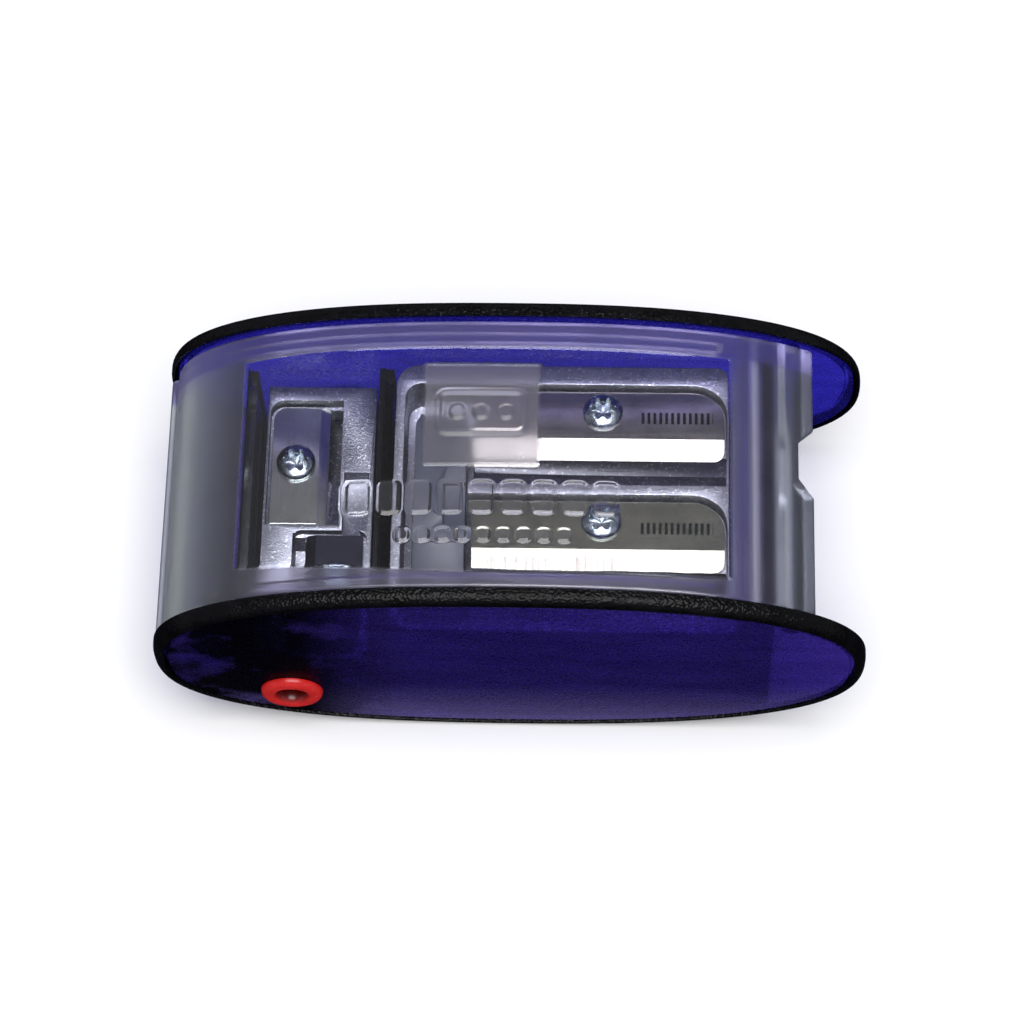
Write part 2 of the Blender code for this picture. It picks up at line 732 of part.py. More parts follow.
def lead_bore(side, cutters):
    """Bore that rises from a bush to the inner end of a pointer blade: straight, then tapered."""
    way = SIDES[side]
    mouth = Vector((BUSH_X[side], way * (BLOCK_HALF_WIDTH + GAP), BUSH_Z))
    tip = Vector((POINTER_EDGE_X[side], way * LEAD_TIP_Y, POINTER_BLADE_HIGH_Z - LEAD_TIP_DEPTH))
    radius = BUSH_HOLE_RADIUS[side]
    length = (tip - mouth).length
    straight = -LEAD_STRAIGHT * length
    profile = [(0, 0), (radius, 0), (radius, straight), (LEAD_TIP_RADIUS, -length), (0, -length)]
    cutter = turned(f"lead_bore_{side}", profile, False, cutters, sides=16)
    cutter.location = mouth
    cutter.rotation_mode = "QUATERNION"
    cutter.rotation_quaternion = (mouth - tip).to_track_quat("Z", "Y")
    return cutter


def pointer_block(part, cutters):
    """Small cast block with a blade on each side for pointing leads of two sizes."""
    width = BLOCK_HALF_WIDTH
    low = (POINTER_X[0], -width, POINTER_Z[0])
    high = (POINTER_X[1], width, POINTER_Z[1])
    body = block("pointer_block", low, high, part)
    step_x = POINTER_EDGE_X["back"] + POINTER_BESIDE + GAP
    step = block(
        "pointer_step",
        (step_x, POINTER_STEP_Y[0], POINTER_Z[1] - POINTER_STEP_DEPTH),
        (POINTER_X[1] - POINTER_STEP_WALL, POINTER_STEP_Y[1], POINTER_Z[1] + GAP),
        cutters,
    )
    cut(body, step)
    for side in SIDES:
        cut(body, *pointer_pocket(side, cutters), lead_bore(side, cutters))
        x, y, z = pointer_screw_place(side)
        radius = SHANK_RADIUS + SMALL_GAP
        foot, over = (x, y, z - SHANK_LENGTH - GAP), (x, y, z + GAP)
        cut(body, cone(f"pointer_tapped_{side}", foot, over, radius, radius, cutters))
    return body


def pointer_screw_place(side):
    """Where a pointer screw's head meets its blade."""
    x, y = POINTER_SCREW_X[side], POINTER_SCREW_Y[side]
    ends = POINTER_BLADE_Y[side]
    inner = ends[0] if side == "back" else ends[1]
    drop = abs(y - inner) * math.tan(POINTER_BLADE_SLOPE)
    head_tilt = HEAD_RADIUS * math.tan(POINTER_BLADE_SLOPE)
    return x, y, POINTER_BLADE_HIGH_Z - drop + head_tilt


def pointer_blade_hole(side, blade, cutters):
    x, y, z = pointer_screw_place(side)
    radius = SHANK_RADIUS + SMALL_GAP
    foot, over = (x, y, z - 4 * POINTER_BLADE_THICKNESS), (x, y, z + GAP)
    cut(blade, cone(f"pointer_blade_hole_{side}", foot, over, radius, radius, cutters))


# --- Spare blades and lid ----------------------------------------------------------------------------


def spare_blade(place, part, cutters):
    """Spare sharpening blade standing on its back edge across the tray, its ground edge up."""
    name = f"spare_blade_{place}"
    x = SPARE_X[place]
    top = SPARE_TOP_Z[place]
    half = SPARE_LENGTH / 2
    radii = (BLADE_CORNER, 0, 0, BLADE_SMALL_CORNER)
    outline = rounded_rectangle((-half, top - BLADE_WIDTH), (half, top), radii)
    left = x - BLADE_THICKNESS / 2
    right = x + BLADE_THICKNESS / 2
    blade = prism(name, [outline], "X", left, right, part)
    grind = [
        (left + EDGE_THICKNESS, top + CUT_OVER),
        (left + EDGE_THICKNESS, top),
        (right, top - BEVEL_WIDTH),
        (right + CUT_OVER, top - BEVEL_WIDTH),
        (right + CUT_OVER, top + CUT_OVER),
    ]
    ground = prism(f"{name}_grind", [grind], "Y", -half - CUT_OVER, half + CUT_OVER, cutters)
    z = top - SCREW_FROM_EDGE
    radius = SHANK_RADIUS + SMALL_GAP
    hole = cone(f"{name}_hole", (left - CUT_OVER, 0, z), (right + CUT_OVER, 0, z), radius, radius, cutters)
    cut(blade, ground, hole)
    return blade


def lid_outline():
    """Section of the lid: from the lip on the left, over the top, to the tail."""
    foot = (LID_FOOT_Z - CENTRE_Z) / SHELL_HALF_HEIGHT
    start = math.pi - math.asin(foot ** (OVAL_POWER / 2))
    end = oval_turn(LID_TAIL_X, SHELL_HALF_LENGTH)
    return oval_band(start, end, OVAL_STEPS * 5 // 8, 0, SHELL_WALL)


def lid_rib(side, cutters):
    """Rib that runs along the inside of the lid near one edge."""
    start = oval_turn(LID_RIB_X[0], SHELL_HALF_LENGTH)
    end = oval_turn(LID_RIB_X[1], SHELL_HALF_LENGTH)
    inset = SHELL_WALL / 2
    outline = oval_band(start, end, OVAL_STEPS * 3 // 8, inset, LID_RIB_DEPTH + inset)
    ends = span(side, LID_RIB_Y, LID_RIB_Y + LID_RIB_WIDTH)
    return prism(f"lid_rib_{side}", [outline], "Y", *ends, cutters)


def cross_rib(number, cutters):
    """Rib across the inside of the lid, beside the hinge."""
    x = CROSS_RIB_X[number]
    half = CROSS_RIB_WIDTH / 2
    width = SHELL_HALF_WIDTH - SMALL_GAP
    inner = oval_height(x, SHELL_HALF_LENGTH - SHELL_WALL, SHELL_HALF_HEIGHT - SHELL_WALL)
    foot = CENTRE_Z + inner - CROSS_RIB_DEPTH
    top = CENTRE_Z + inner + SHELL_WALL / 2
    return block(f"cross_rib_{number}", (x - half, -width, foot), (x + half, width, top), cutters)


def lid(part, cutters):
    """Clear lid with a finger lip, inner ribs, a hinge barrel with two trunnions and a notched tail."""
    width = SHELL_HALF_WIDTH
    cover = prism("lid", [lid_outline()], "Y", -width, width, part)
    lip = block(
        "lid_lip",
        (-LIP_X, -width, LID_FOOT_Z),
        (-SHELL_HALF_LENGTH + SHELL_WALL / 2, width, LID_FOOT_Z + LIP_THICKNESS),
        cutters,
    )
    barrel = cone(
        "lid_barrel",
        (HINGE_X, -width, HINGE_Z),
        (HINGE_X, width, HINGE_Z),
        BARREL_RADIUS,
        BARREL_RADIUS,
        cutters,
        sides=20,
    )
    reach = width + TRUNNION_LENGTH
    trunnions = cone(
        "lid_trunnions",
        (HINGE_X, -reach, HINGE_Z),
        (HINGE_X, reach, HINGE_Z),
        TRUNNION_RADIUS,
        TRUNNION_RADIUS,
        cutters,
    )
    join(cover, lip, barrel, trunnions)
    join(cover, *(lid_rib(side, cutters) for side in SIDES))
    join(cover, *(cross_rib(number, cutters) for number in range(len(CROSS_RIB_X))))
    mouth_x = LID_TAIL_X + GAP
    notch = [
        (NOTCH_FLOOR_X, NOTCH_Y - NOTCH_FLOOR_WIDTH / 2),
        (mouth_x, NOTCH_Y - NOTCH_MOUTH_WIDTH / 2),
        (mouth_x, NOTCH_Y + NOTCH_MOUTH_WIDTH / 2),
        (NOTCH_FLOOR_X, NOTCH_Y + NOTCH_FLOOR_WIDTH / 2),
    ]
    cut(cover, prism("tail_notch", [notch], "Z", HINGE_Z - NOTCH_DEPTH, HEIGHT, cutters))
    hinge = bpy.data.objects.new("lid_hinge_axis", None)
    hinge.location = (HINGE_X, 0, HINGE_Z)
    part.objects.link(hinge)
    bpy.context.view_layer.update()
    for piece in (cover, *(modifier.object for modifier in cover.modifiers)):
        piece.parent = hinge
        piece.matrix_parent_inverse = hinge.matrix_world.inverted()
    return cover


# --- Whole object ------------------------------------------------------------------------------------


def looks():
    return {
        "blue": material("blue_clear_plastic", (0.05, 0.04, 0.40), 0.2, transmission=0.7),
        "black": material("black_soft_plastic", (0.008, 0.008, 0.01), 0.5),
        "clear": material("clear_plastic", (0.75, 0.77, 0.85), 0.3, transmission=0.9),
        "cast": material("cast_magnesium", (0.42, 0.43, 0.47), 0.45, metallic=1.0),
        "steel": material("blade_steel", (0.55, 0.55, 0.53), 0.3, metallic=1.0),
        "screw": material("zinc_plated_screw", (0.62, 0.66, 0.70), 0.25, metallic=1.0),
        "stop": material("grey_plastic", (0.35, 0.37, 0.42), 0.4),
        "red": material("red_plastic", (0.62, 0.02, 0.02), 0.3),
        "pale_blue": material("blue_plastic", (0.03, 0.10, 0.55), 0.3),
    }


def build():
    clear_scene()
    part = new_collection("container_pencil_sharpener")
    cutters = new_collection("cutters")
    look = looks()
    bush_looks = {"front": look["red"], "back": look["pale_blue"]}
    for side in SIDES:
        finish(rim_band(side, part, cutters), look["black"])
        finish(side_panel(side, part, cutters), look["blue"])
        finish(lead_bush(side, part), bush_looks[side])
    finish(base_tray(part, cutters), look["blue"])
    finish(sharpener_block(part, cutters), look["cast"])
    finish(stop_plate(part), look["stop"])
    blade_top = BLADE_Z + BLADE_THICKNESS
    for hole, edge in EDGE_Y.items():
        finish(sharpening_blade(hole, part, cutters), look["steel"])
        y = edge + SCREW_FROM_EDGE
        screw = blade_screw(f"{hole}_blade_screw", SCREW_X, y, blade_top, part, cutters)
        finish(screw, look["screw"])
    finish(pointer_block(part, cutters), look["cast"])
    for side in SIDES:
        blade = pointer_blade(side, part)
        pointer_blade_hole(side, blade, cutters)
        finish(blade, look["steel"])
        place = pointer_screw_place(side)
        finish(blade_screw(f"pointer_screw_{side}", *place, part, cutters), look["screw"])
    for place in SPARE_X:
        finish(spare_blade(place, part, cutters), look["steel"])
    finish(lid(part, cutters), look["clear"])


build()
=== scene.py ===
import json
import math

import bmesh
import bpy
from mathutils import Matrix, Vector


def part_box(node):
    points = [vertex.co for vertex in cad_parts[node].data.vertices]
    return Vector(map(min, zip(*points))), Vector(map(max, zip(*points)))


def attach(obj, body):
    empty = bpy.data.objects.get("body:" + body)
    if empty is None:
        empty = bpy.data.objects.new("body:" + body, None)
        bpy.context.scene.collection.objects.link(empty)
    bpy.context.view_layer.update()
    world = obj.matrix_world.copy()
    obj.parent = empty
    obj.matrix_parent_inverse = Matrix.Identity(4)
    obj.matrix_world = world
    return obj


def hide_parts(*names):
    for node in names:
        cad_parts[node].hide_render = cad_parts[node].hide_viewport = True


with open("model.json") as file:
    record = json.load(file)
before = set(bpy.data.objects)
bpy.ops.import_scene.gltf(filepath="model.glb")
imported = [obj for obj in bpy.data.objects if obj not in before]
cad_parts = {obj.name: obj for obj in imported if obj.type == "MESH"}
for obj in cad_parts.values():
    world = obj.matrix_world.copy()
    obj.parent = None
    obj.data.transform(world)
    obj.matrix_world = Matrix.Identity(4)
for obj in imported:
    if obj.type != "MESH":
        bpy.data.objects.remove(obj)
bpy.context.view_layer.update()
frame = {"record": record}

# Lengths are in millimetres up to the point where a mesh is made
MM = 0.001
MERGE = 0.0005 * MM
COARSE_MERGE = 0.002 * MM


def box(node):
    """Low and high corners of a CAD node, in millimetres."""
    low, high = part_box(node)
    return Vector(low) / MM, Vector(high) / MM


def middle(node):
    """Middle of a CAD node's box."""
    low, high = box(node)
    return (low + high) / 2


# --- Sizes that the pieces share, from the frame where it has them --------------------------------

BAND_LOW, BAND_HIGH = box("rim_band_back")
PANEL_LOW, PANEL_HIGH = box("side_panel_back")
LID_LOW, LID_HIGH = box("lid")
TRAY_HIGH = box("base_tray")[1]
BLOCK_LOW, BLOCK_HIGH = box("sharpener_block")
STOP_LOW, STOP_HIGH = box("point_stop_plate")
POINTER_LOW, POINTER_HIGH = box("pointer_block")
HINGE_X, _, HINGE_Z = (value / MM for value in frame["record"]["behaviour"]["joints"][0]["pos_m"])

SIDES = {"front": -1, "back": 1}

OVAL_POWER = 2.46  # exponent of the panels' superellipse
FOOT_FLAT = 0.1  # how much the bands are flattened underneath
OVAL_A = BAND_HIGH.x
OVAL_B = (BAND_HIGH.z - BAND_LOW.z + FOOT_FLAT) / 2
MIDDLE_Z = BAND_HIGH.z - OVAL_B
SHELL_A = 30.3  # tray and lid outside, half the length and half the height
SHELL_B = 12.9
SHELL_WALL = 1.3
SHELL_HALF_WIDTH = TRAY_HIGH.y

GAP = 0.3  # the wider of the two gaps between pieces
SMALL_GAP = 0.1
CUT_OVER = 0.5  # how far a cutter runs past what it cuts

BLADE_NODES = {"wood": "wood_blade", "graphite": "graphite_blade"}
BLADE_CORNER = 3.0
BLADE_SMALL_CORNER = 1.1
BLADE_SHARP_CORNER = 0.25
BLADE_BEVEL = 2.0
EDGE_THICKNESS = 0.12
SCREW_FROM_EDGE = 4.6
SHANK_RADIUS = 0.95

BORE_RADIUS = 4.15
TIP_RADIUS = {"wood": 1.3, "graphite": 0.4}
BORE_MOUTH_X = 18.8
BORE_TIP_X = -3.4
BORE_RUN_OUT = 6  # how far a bore runs on, through the end wall
BUSH_HOLE_RADIUS = {"front": 1.15, "back": 1.75}

WINDOW_X = (-23.4, 18.95)  # the lid's clear window, and the frosted patch in it
WINDOW_BACK_Y = 10.1
PATCH_X = (-7.5, 2.5)
PATCH_Y = (-1.25, 8.4)


def oval_point(turn, half_length, half_height):
    """Point of the superellipse at an angle, as (x, z)."""
    across, up = math.cos(turn), math.sin(turn)
    power = 2 / OVAL_POWER
    return (
        math.copysign(half_length * abs(across) ** power, across),
        MIDDLE_Z + math.copysign(half_height * abs(up) ** power, up),
    )


def oval_height(x, half_length, half_height):
    """How far the superellipse is above the middle at x."""
    return half_height * max(0, 1 - abs(x / half_length) ** OVAL_POWER) ** (1 / OVAL_POWER)


def oval_reach(z, half_length, half_height):
    """How far the superellipse is from the middle at height z."""
    return half_length * max(0, 1 - abs((z - MIDDLE_Z) / half_height) ** OVAL_POWER) ** (1 / OVAL_POWER)


def oval(inset, steps=200):
    """Closed outline of the panels, so far in from the bands' outside, evenly spaced."""
    fine_steps = steps * 8
    turns = [2 * math.pi * step / fine_steps for step in range(fine_steps)]
    return even([oval_point(turn, OVAL_A - inset, OVAL_B - inset) for turn in turns], steps)


def even(points, count):
    """The closed outline again, with points evenly spaced along it."""
    around = points + points[:1]
    lengths = [0]
    for here, there in zip(around, around[1:]):
        lengths.append(lengths[-1] + math.dist(here, there))
    spaced = []
    piece = 0
    for step in range(count):
        wanted = lengths[-1] * step / count
        while lengths[piece + 1] < wanted:
            piece += 1
        part = (wanted - lengths[piece]) / (lengths[piece + 1] - lengths[piece])
        here, there = around[piece], around[piece + 1]
        spaced.append(tuple(a + (b - a) * part for a, b in zip(here, there)))
    return spaced


def quarter(steps):
    """Angles over a quarter turn, both ends among them."""
    return [math.pi / 2 * step / steps for step in range(steps + 1)]


def smooth_step(low, high, value):
    """0 below the low value and 1 above the high one, with a smooth rise between them."""
    part = min(1, max(0, (value - low) / (high - low)))
    return part * part * (3 - 2 * part)


# --- Mesh tools -----------------------------------------------------------------------------------


def mesh_object(name, points, faces):
    """Closed object from points in millimetres, with its faces turned outwards."""
    mesh = bpy.data.meshes.new(name)
    mesh.from_pydata([[value * MM for value in point] for point in points], [], faces)
    shape = bmesh.new()
    shape.from_mesh(mesh)
    bmesh.ops.recalc_face_normals(shape, faces=shape.faces)
    shape.to_mesh(mesh)
    shape.free()
    obj = bpy.data.objects.new(name, mesh)
    bpy.context.scene.collection.objects.link(obj)
    return obj


def skin(name, rings, around=False, caps="face"):
    """Surface over closed rings of points, from the first to the last or all the way around."""
    count = len(rings[0])
    points = [point for ring in rings for point in ring]
    faces = []
    for number in range(len(rings) if around else len(rings) - 1):
        here, there = number * count, (number + 1) % len(rings) * count
        for step in range(count):
            after = (step + 1) % count
            faces.append((here + step, here + after, there + after, there + step))
    if not around:
        for start in (0, (len(rings) - 1) * count):
            if caps == "face":
                faces.append(tuple(range(start, start + count)))
            else:
                for step in range(count // 2 - 1):
                    far = start + count - 1 - step
                    faces.append((start + step, start + step + 1, far - 1, far))
    return mesh_object(name, points, faces)


def prism(name, outline, axis, low, high):
    """An outline drawn out along an axis. Its points are (y, z) for X, (x, z) for Y and (x, y) for Z."""
    place = {
        "X": lambda across, up, along: (along, across, up),
        "Y": lambda across, up, along: (across, along, up),
        "Z": lambda across, up, along: (across, up, along),
    }[axis]
    return skin(name, [[place(*point, along) for point in outline] for along in (low, high)])


def block(name, low, high):
    """Box between two corners."""
    outline = [(low[0], low[1]), (high[0], low[1]), (high[0], high[1]), (low[0], high[1])]
    return prism(name, outline, "Z", low[2], high[2])


def turned(name, profile, origin, axis, sides=72):
    """Closed profile of (radius, height) points turned about an axis through the origin."""
    origin, axis = Vector(origin), Vector(axis).normalized()
    across = axis.orthogonal().normalized()
    beside = axis.cross(across)
    rings = []
    for step in range(sides):
        turn = 2 * math.pi * step / sides
        way = across * math.cos(turn) + beside * math.sin(turn)
        rings.append([origin + way * radius + axis * height for radius, height in profile])
    obj = skin(name, rings, around=True)
    shape = bmesh.new()
    shape.from_mesh(obj.data)
    bmesh.ops.remove_doubles(shape, verts=shape.verts, dist=MERGE)
    bmesh.ops.dissolve_degenerate(shape, edges=shape.edges, dist=MERGE)
    bmesh.ops.recalc_face_normals(shape, faces=shape.faces)
    shape.to_mesh(obj.data)
    shape.free()
    return obj


def cylinder(name, radius, low, high, origin, axis, sides):
    """Round bar from a low to a high place along an axis through the origin."""
    return turned(name, [(0, low), (radius, low), (radius, high), (0, high)], origin, axis, sides)


def rounded_rectangle(low, high, radii, steps=8):
    """Outline with its own radius at each corner, from the low corner counter-clockwise."""
    corners = ((low[0], low[1]), (high[0], low[1]), (high[0], high[1]), (low[0], high[1]))
    inward = ((1, 1), (-1, 1), (-1, -1), (1, -1))
    points = []
    for number, ((x, y), (in_x, in_y), radius) in enumerate(zip(corners, inward, radii)):
        if radius == 0:
            points.append((x, y))
            continue
        for step in range(steps + 1):
            turn = math.pi + (number + step / steps) * math.pi / 2
            points.append((x + radius * (in_x + math.cos(turn)), y + radius * (in_y + math.sin(turn))))
    return points


def settle(obj):
    """Applies the object's modifiers."""
    bpy.context.view_layer.update()
    evaluated = obj.evaluated_get(bpy.context.evaluated_depsgraph_get())
    mesh = bpy.data.meshes.new_from_object(evaluated)
    obj.modifiers.clear()
    obj.data = mesh


def boolean(obj, others, operation):
    """Takes the others from an object or joins them to it, and deletes them."""
    for other in others:
        modifier = obj.modifiers.new(operation, "BOOLEAN")
        modifier.operation = operation
        modifier.solver = "EXACT"
        modifier.object = other
    settle(obj)
    for other in others:
        bpy.data.objects.remove(other, do_unlink=True)
    return obj


def cut(obj, *cutters):
    return boolean(obj, cutters, "DIFFERENCE")


def join(obj, *others):
    return boolean(obj, others, "UNION")


def soften(obj, width, angle=30, segments=2):
    """Rounds the edges that are sharper than the angle."""
    shape = bmesh.new()
    shape.from_mesh(obj.data)
    bmesh.ops.remove_doubles(shape, verts=shape.verts, dist=COARSE_MERGE)
    flat = math.radians(0.5)
    bmesh.ops.dissolve_limit(shape, angle_limit=flat, verts=shape.verts, edges=shape.edges)
    shape.to_mesh(obj.data)
    shape.free()
    bevel = obj.modifiers.new("Bevel", "BEVEL")
    bevel.width = width * MM
    bevel.segments = segments
    bevel.limit_method = "ANGLE"
    bevel.angle_limit = math.radians(angle)
    bevel.use_clamp_overlap = True
    settle(obj)
    return obj


def dress(piece, look, slot, body, *nodes, smooth=35):
    """Gives a piece its material and its body, and hides the CAD nodes that it stands for. The slot is
    not used.
    """
    piece.data.materials.clear()
    piece.data.materials.append(look)
    piece.data.shade_smooth()
    piece.data.set_sharp_from_angle(angle=math.radians(smooth))
    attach(piece, body)
    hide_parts(*nodes)
    return piece


# --- Camera, lights and floor ---------------------------------------------------------------------

CAMERA_AZIMUTH = math.radians(3.478)
CAMERA_ELEVATION = math.radians(64.428)
CAMERA_ROLL = math.radians(-2.455)
CAMERA_DISTANCE = 328.675
CAMERA_AIM = Vector((0, 0, 13.5))
CAMERA_LENS = 130.28
CAMERA_SENSOR = 36
CAMERA_SHIFT = (-0.00025, 0.00428)

LAMP_SIZE = 0.5
LAMP_PLACE = (0.03, -0.14, 0.62)
LAMP_POWER = 5.0
FLOOR_HALF = 2000
STUDIO_UP = ((0.0, (0.02, 0.02, 0.03)), (0.03, (0.55, 0.56, 0.60)), (1.0, (0.13, 0.13, 0.15)))
BACKDROP = (0.9, 0.9, 0.9)


def add_camera():
    level = Vector((math.cos(CAMERA_AZIMUTH), math.sin(CAMERA_AZIMUTH), 0))
    away = Vector((level.y, -level.x, 0))
    back = away * math.cos(CAMERA_ELEVATION) + Vector((0, 0, math.sin(CAMERA_ELEVATION)))
    upright = back.cross(level)
    right = level * math.cos(CAMERA_ROLL) + upright * math.sin(CAMERA_ROLL)
    up = upright * math.cos(CAMERA_ROLL) - level * math.sin(CAMERA_ROLL)
    data = bpy.data.cameras.new("camera")
    data.sensor_width = CAMERA_SENSOR
    data.lens = CAMERA_LENS
    data.shift_x, data.shift_y = CAMERA_SHIFT
    data.clip_start, data.clip_end = 0.01, 10
    camera = bpy.data.objects.new("camera", data)
    place = (CAMERA_AIM + back * CAMERA_DISTANCE) * MM
    turn = Matrix((right, up, back)).transposed().to_4x4()
    camera.matrix_world = Matrix.Translation(place) @ turn
    bpy.context.scene.collection.objects.link(camera)
    bpy.context.scene.camera = camera


def add_lamp():
    data = bpy.data.lights.new("overhead_softbox", "AREA")
    data.shape = "SQUARE"
    data.size = LAMP_SIZE
    data.energy = LAMP_POWER
    lamp = bpy.data.objects.new("overhead_softbox", data)
    lamp.location = LAMP_PLACE
    towards = Vector((0, 0, 0)) - Vector(LAMP_PLACE)
    lamp.rotation_mode = "QUATERNION"
    lamp.rotation_quaternion = towards.to_track_quat("-Z", "Y")
    bpy.context.scene.collection.objects.link(lamp)


def add_world():
    """Dim studio: greyer overhead than at the sides and dark under the floor, with a pale backdrop."""
    world = bpy.data.worlds.new("studio")
    world.use_nodes = True
    bpy.context.scene.world = world
    tree = world.node_tree
    tree.nodes.clear()
    way = node(tree, "ShaderNodeTexCoord").outputs["Generated"]
    height = node(tree, "ShaderNodeSeparateXYZ", {0: way}).outputs["Z"]
    sky = ramp(tree, height, STUDIO_UP)
    path = node(tree, "ShaderNodeLightPath")
    colour = mix_colour(tree, path.outputs["Is Camera Ray"], sky, BACKDROP)
    background = node(tree, "ShaderNodeBackground", {"Color": colour, "Strength": 1.0})
    node(tree, "ShaderNodeOutputWorld", {"Surface": background.outputs[0]})


def add_floor(look):
    half = FLOOR_HALF
    corners = [(-half, -half, 0), (half, -half, 0), (half, half, 0), (-half, half, 0)]
    floor = mesh_object("floor", corners, [(0, 1, 2, 3)])
    floor.data.materials.append(look)
    floor.visible_glossy = False


# --- Materials ------------------------------------------------------------------------------------


def node(tree, kind, inputs=None, **settings):
    """New shader node. An input is given a socket to be linked to, or a value."""
    made = tree.nodes.new(kind)
    for key, value in settings.items():
        setattr(made, key, value)
    for key, value in (inputs or {}).items():
        if isinstance(value, bpy.types.NodeSocket):
            tree.links.new(value, made.inputs[key])
        elif isinstance(value, tuple) and len(value) == 3 and made.inputs[key].type == "RGBA":
            made.inputs[key].default_value = (*value, 1)
        else:
            made.inputs[key].default_value = value
    return made


def mix_colour(tree, factor, first, second):
    """A colour between two others, by a factor."""
    made = node(tree, "ShaderNodeMix", data_type="RGBA")
    for socket, value in ((made.inputs[0], factor), (made.inputs[6], first), (made.inputs[7], second)):
        if isinstance(value, bpy.types.NodeSocket):
            tree.links.new(value, socket)
        else:
            socket.default_value = (*value, 1) if isinstance(value, tuple) else value
    return made.outputs[2]


def mapped(tree, value, low, high, to_low=0.0, to_high=1.0):
    """A value carried from one range to another, and held inside it."""
    inputs = {0: value, 1: low, 2: high, 3: to_low, 4: to_high}
    return node(tree, "ShaderNodeMapRange", inputs).outputs[0]


def maths(tree, operation, first, second=0.0):
    """Result of a maths node."""
    return node(tree, "ShaderNodeMath", {0: first, 1: second}, operation=operation).outputs[0]


def inside(tree, value, low, high, edge=0.03):
    """1 where a value is between two others, falling off over an edge."""
    rise = mapped(tree, value, low - edge, low + edge)
    fall = mapped(tree, value, high - edge, high + edge, 1.0, 0.0)
    return product(tree, rise, fall)


def ramp(tree, value, stops):
    """Colour ramp from (place, colour) stops, the first and the last at its ends."""
    start, end = stops[0][0], stops[-1][0]
    made = node(tree, "ShaderNodeValToRGB", {0: mapped(tree, value, start, end)})
    elements = made.color_ramp.elements
    while len(elements) < len(stops):
        elements.new(1.0)
    for element, (place, colour) in zip(elements, stops):
        element.position = (place - start) / (end - start)
        element.color = (*colour, 1)
    return made.outputs[0]


def two_tone(tree, shade, colour, share):
    """A colour and a darker share of it, mixed by a shade."""
    return mix_colour(tree, shade, tuple(value * share for value in colour), colour)


def places(tree):
    """Object coordinates in millimetres, as x, y and z."""
    return node(tree, "ShaderNodeSeparateXYZ", {0: stretched(tree, 1)}).outputs


def product(tree, first, second):
    """Two values multiplied."""
    return maths(tree, "MULTIPLY", first, second)


def stretched(tree, scale):
    """Object coordinates in millimetres, times one scale or a scale along each axis."""
    scale = scale if isinstance(scale, tuple) else (scale, scale, scale)
    coords = node(tree, "ShaderNodeTexCoord").outputs["Object"]
    inputs = {"Vector": coords, "Scale": [value / MM for value in scale]}
    return node(tree, "ShaderNodeMapping", inputs).outputs[0]


def noise(tree, scale, detail=3.0, roughness=0.5):
    """Noise with so many features a millimetre, in all or along each axis."""
    inputs = {"Vector": stretched(tree, scale), "Scale": 1.0, "Detail": detail, "Roughness": roughness}
    return node(tree, "ShaderNodeTexNoise", inputs).outputs[0]


def bump(tree, height, depth, strength=1.0, under=None):
    """Bump of a depth in millimetres."""
    inputs = {"Height": height, "Distance": depth * MM, "Strength": strength}
    if under is not None:
        inputs["Normal"] = under
    return node(tree, "ShaderNodeBump", inputs).outputs[0]


def new_look(name):
    """Plain material and its tree."""
    look = bpy.data.materials.new(name)
    look.use_nodes = True
    return look, look.node_tree


def feed(tree, **inputs):
    """Sets or links the Principled node's inputs, whose names have underscores for spaces."""
    for key, value in inputs.items():
        socket = tree.nodes["Principled BSDF"].inputs[key.replace("_", " ")]
        if isinstance(value, bpy.types.NodeSocket):
            tree.links.new(value, socket)
        elif isinstance(value, tuple):
            socket.default_value = (*value, 1)
        else:
            socket.default_value = value


def pass_shadows(tree, tint):
    """Light reaches what lies behind the plastic, tinted by it."""
    path = node(tree, "ShaderNodeLightPath")
    clear = node(tree, "ShaderNodeBsdfTransparent", {"Color": tint})
    plastic = tree.nodes["Principled BSDF"].outputs[0]
    inputs = {0: path.outputs["Is Shadow Ray"], 1: plastic, 2: clear.outputs[0]}
    mixed = node(tree, "ShaderNodeMixShader", inputs)
    tree.links.new(mixed.outputs[0], tree.nodes["Material Output"].inputs["Surface"])


# Tint of the frosted plastic along the lid, from the lip to the tail, with painted light and shade in
# it: paler at the lip and darker towards the window, painted highlight bands and painted shade between
# the cross ribs by the hinge, and painted shade darkening the tail
LID_TINT_AND_PAINTED_LIGHT = (
    (-31.0, (0.46, 0.49, 0.50)),
    (-27.5, (0.40, 0.44, 0.44)),
    (-23.6, (0.14, 0.15, 0.15)),
    (-20.5, (0.30, 0.28, 0.40)),
    (18.8, (0.22, 0.20, 0.42)),
    (20.5, (0.18, 0.165, 0.38)),
    (20.8, (0.75, 0.75, 0.86)),
    (21.2, (0.75, 0.75, 0.86)),
    (21.6, (0.04, 0.038, 0.08)),
    (22.6, (0.05, 0.045, 0.09)),
    (23.0, (0.32, 0.34, 0.41)),
    (24.2, (0.20, 0.22, 0.26)),
    (24.7, (0.10, 0.115, 0.13)),
    (26.5, (0.035, 0.042, 0.09)),
)


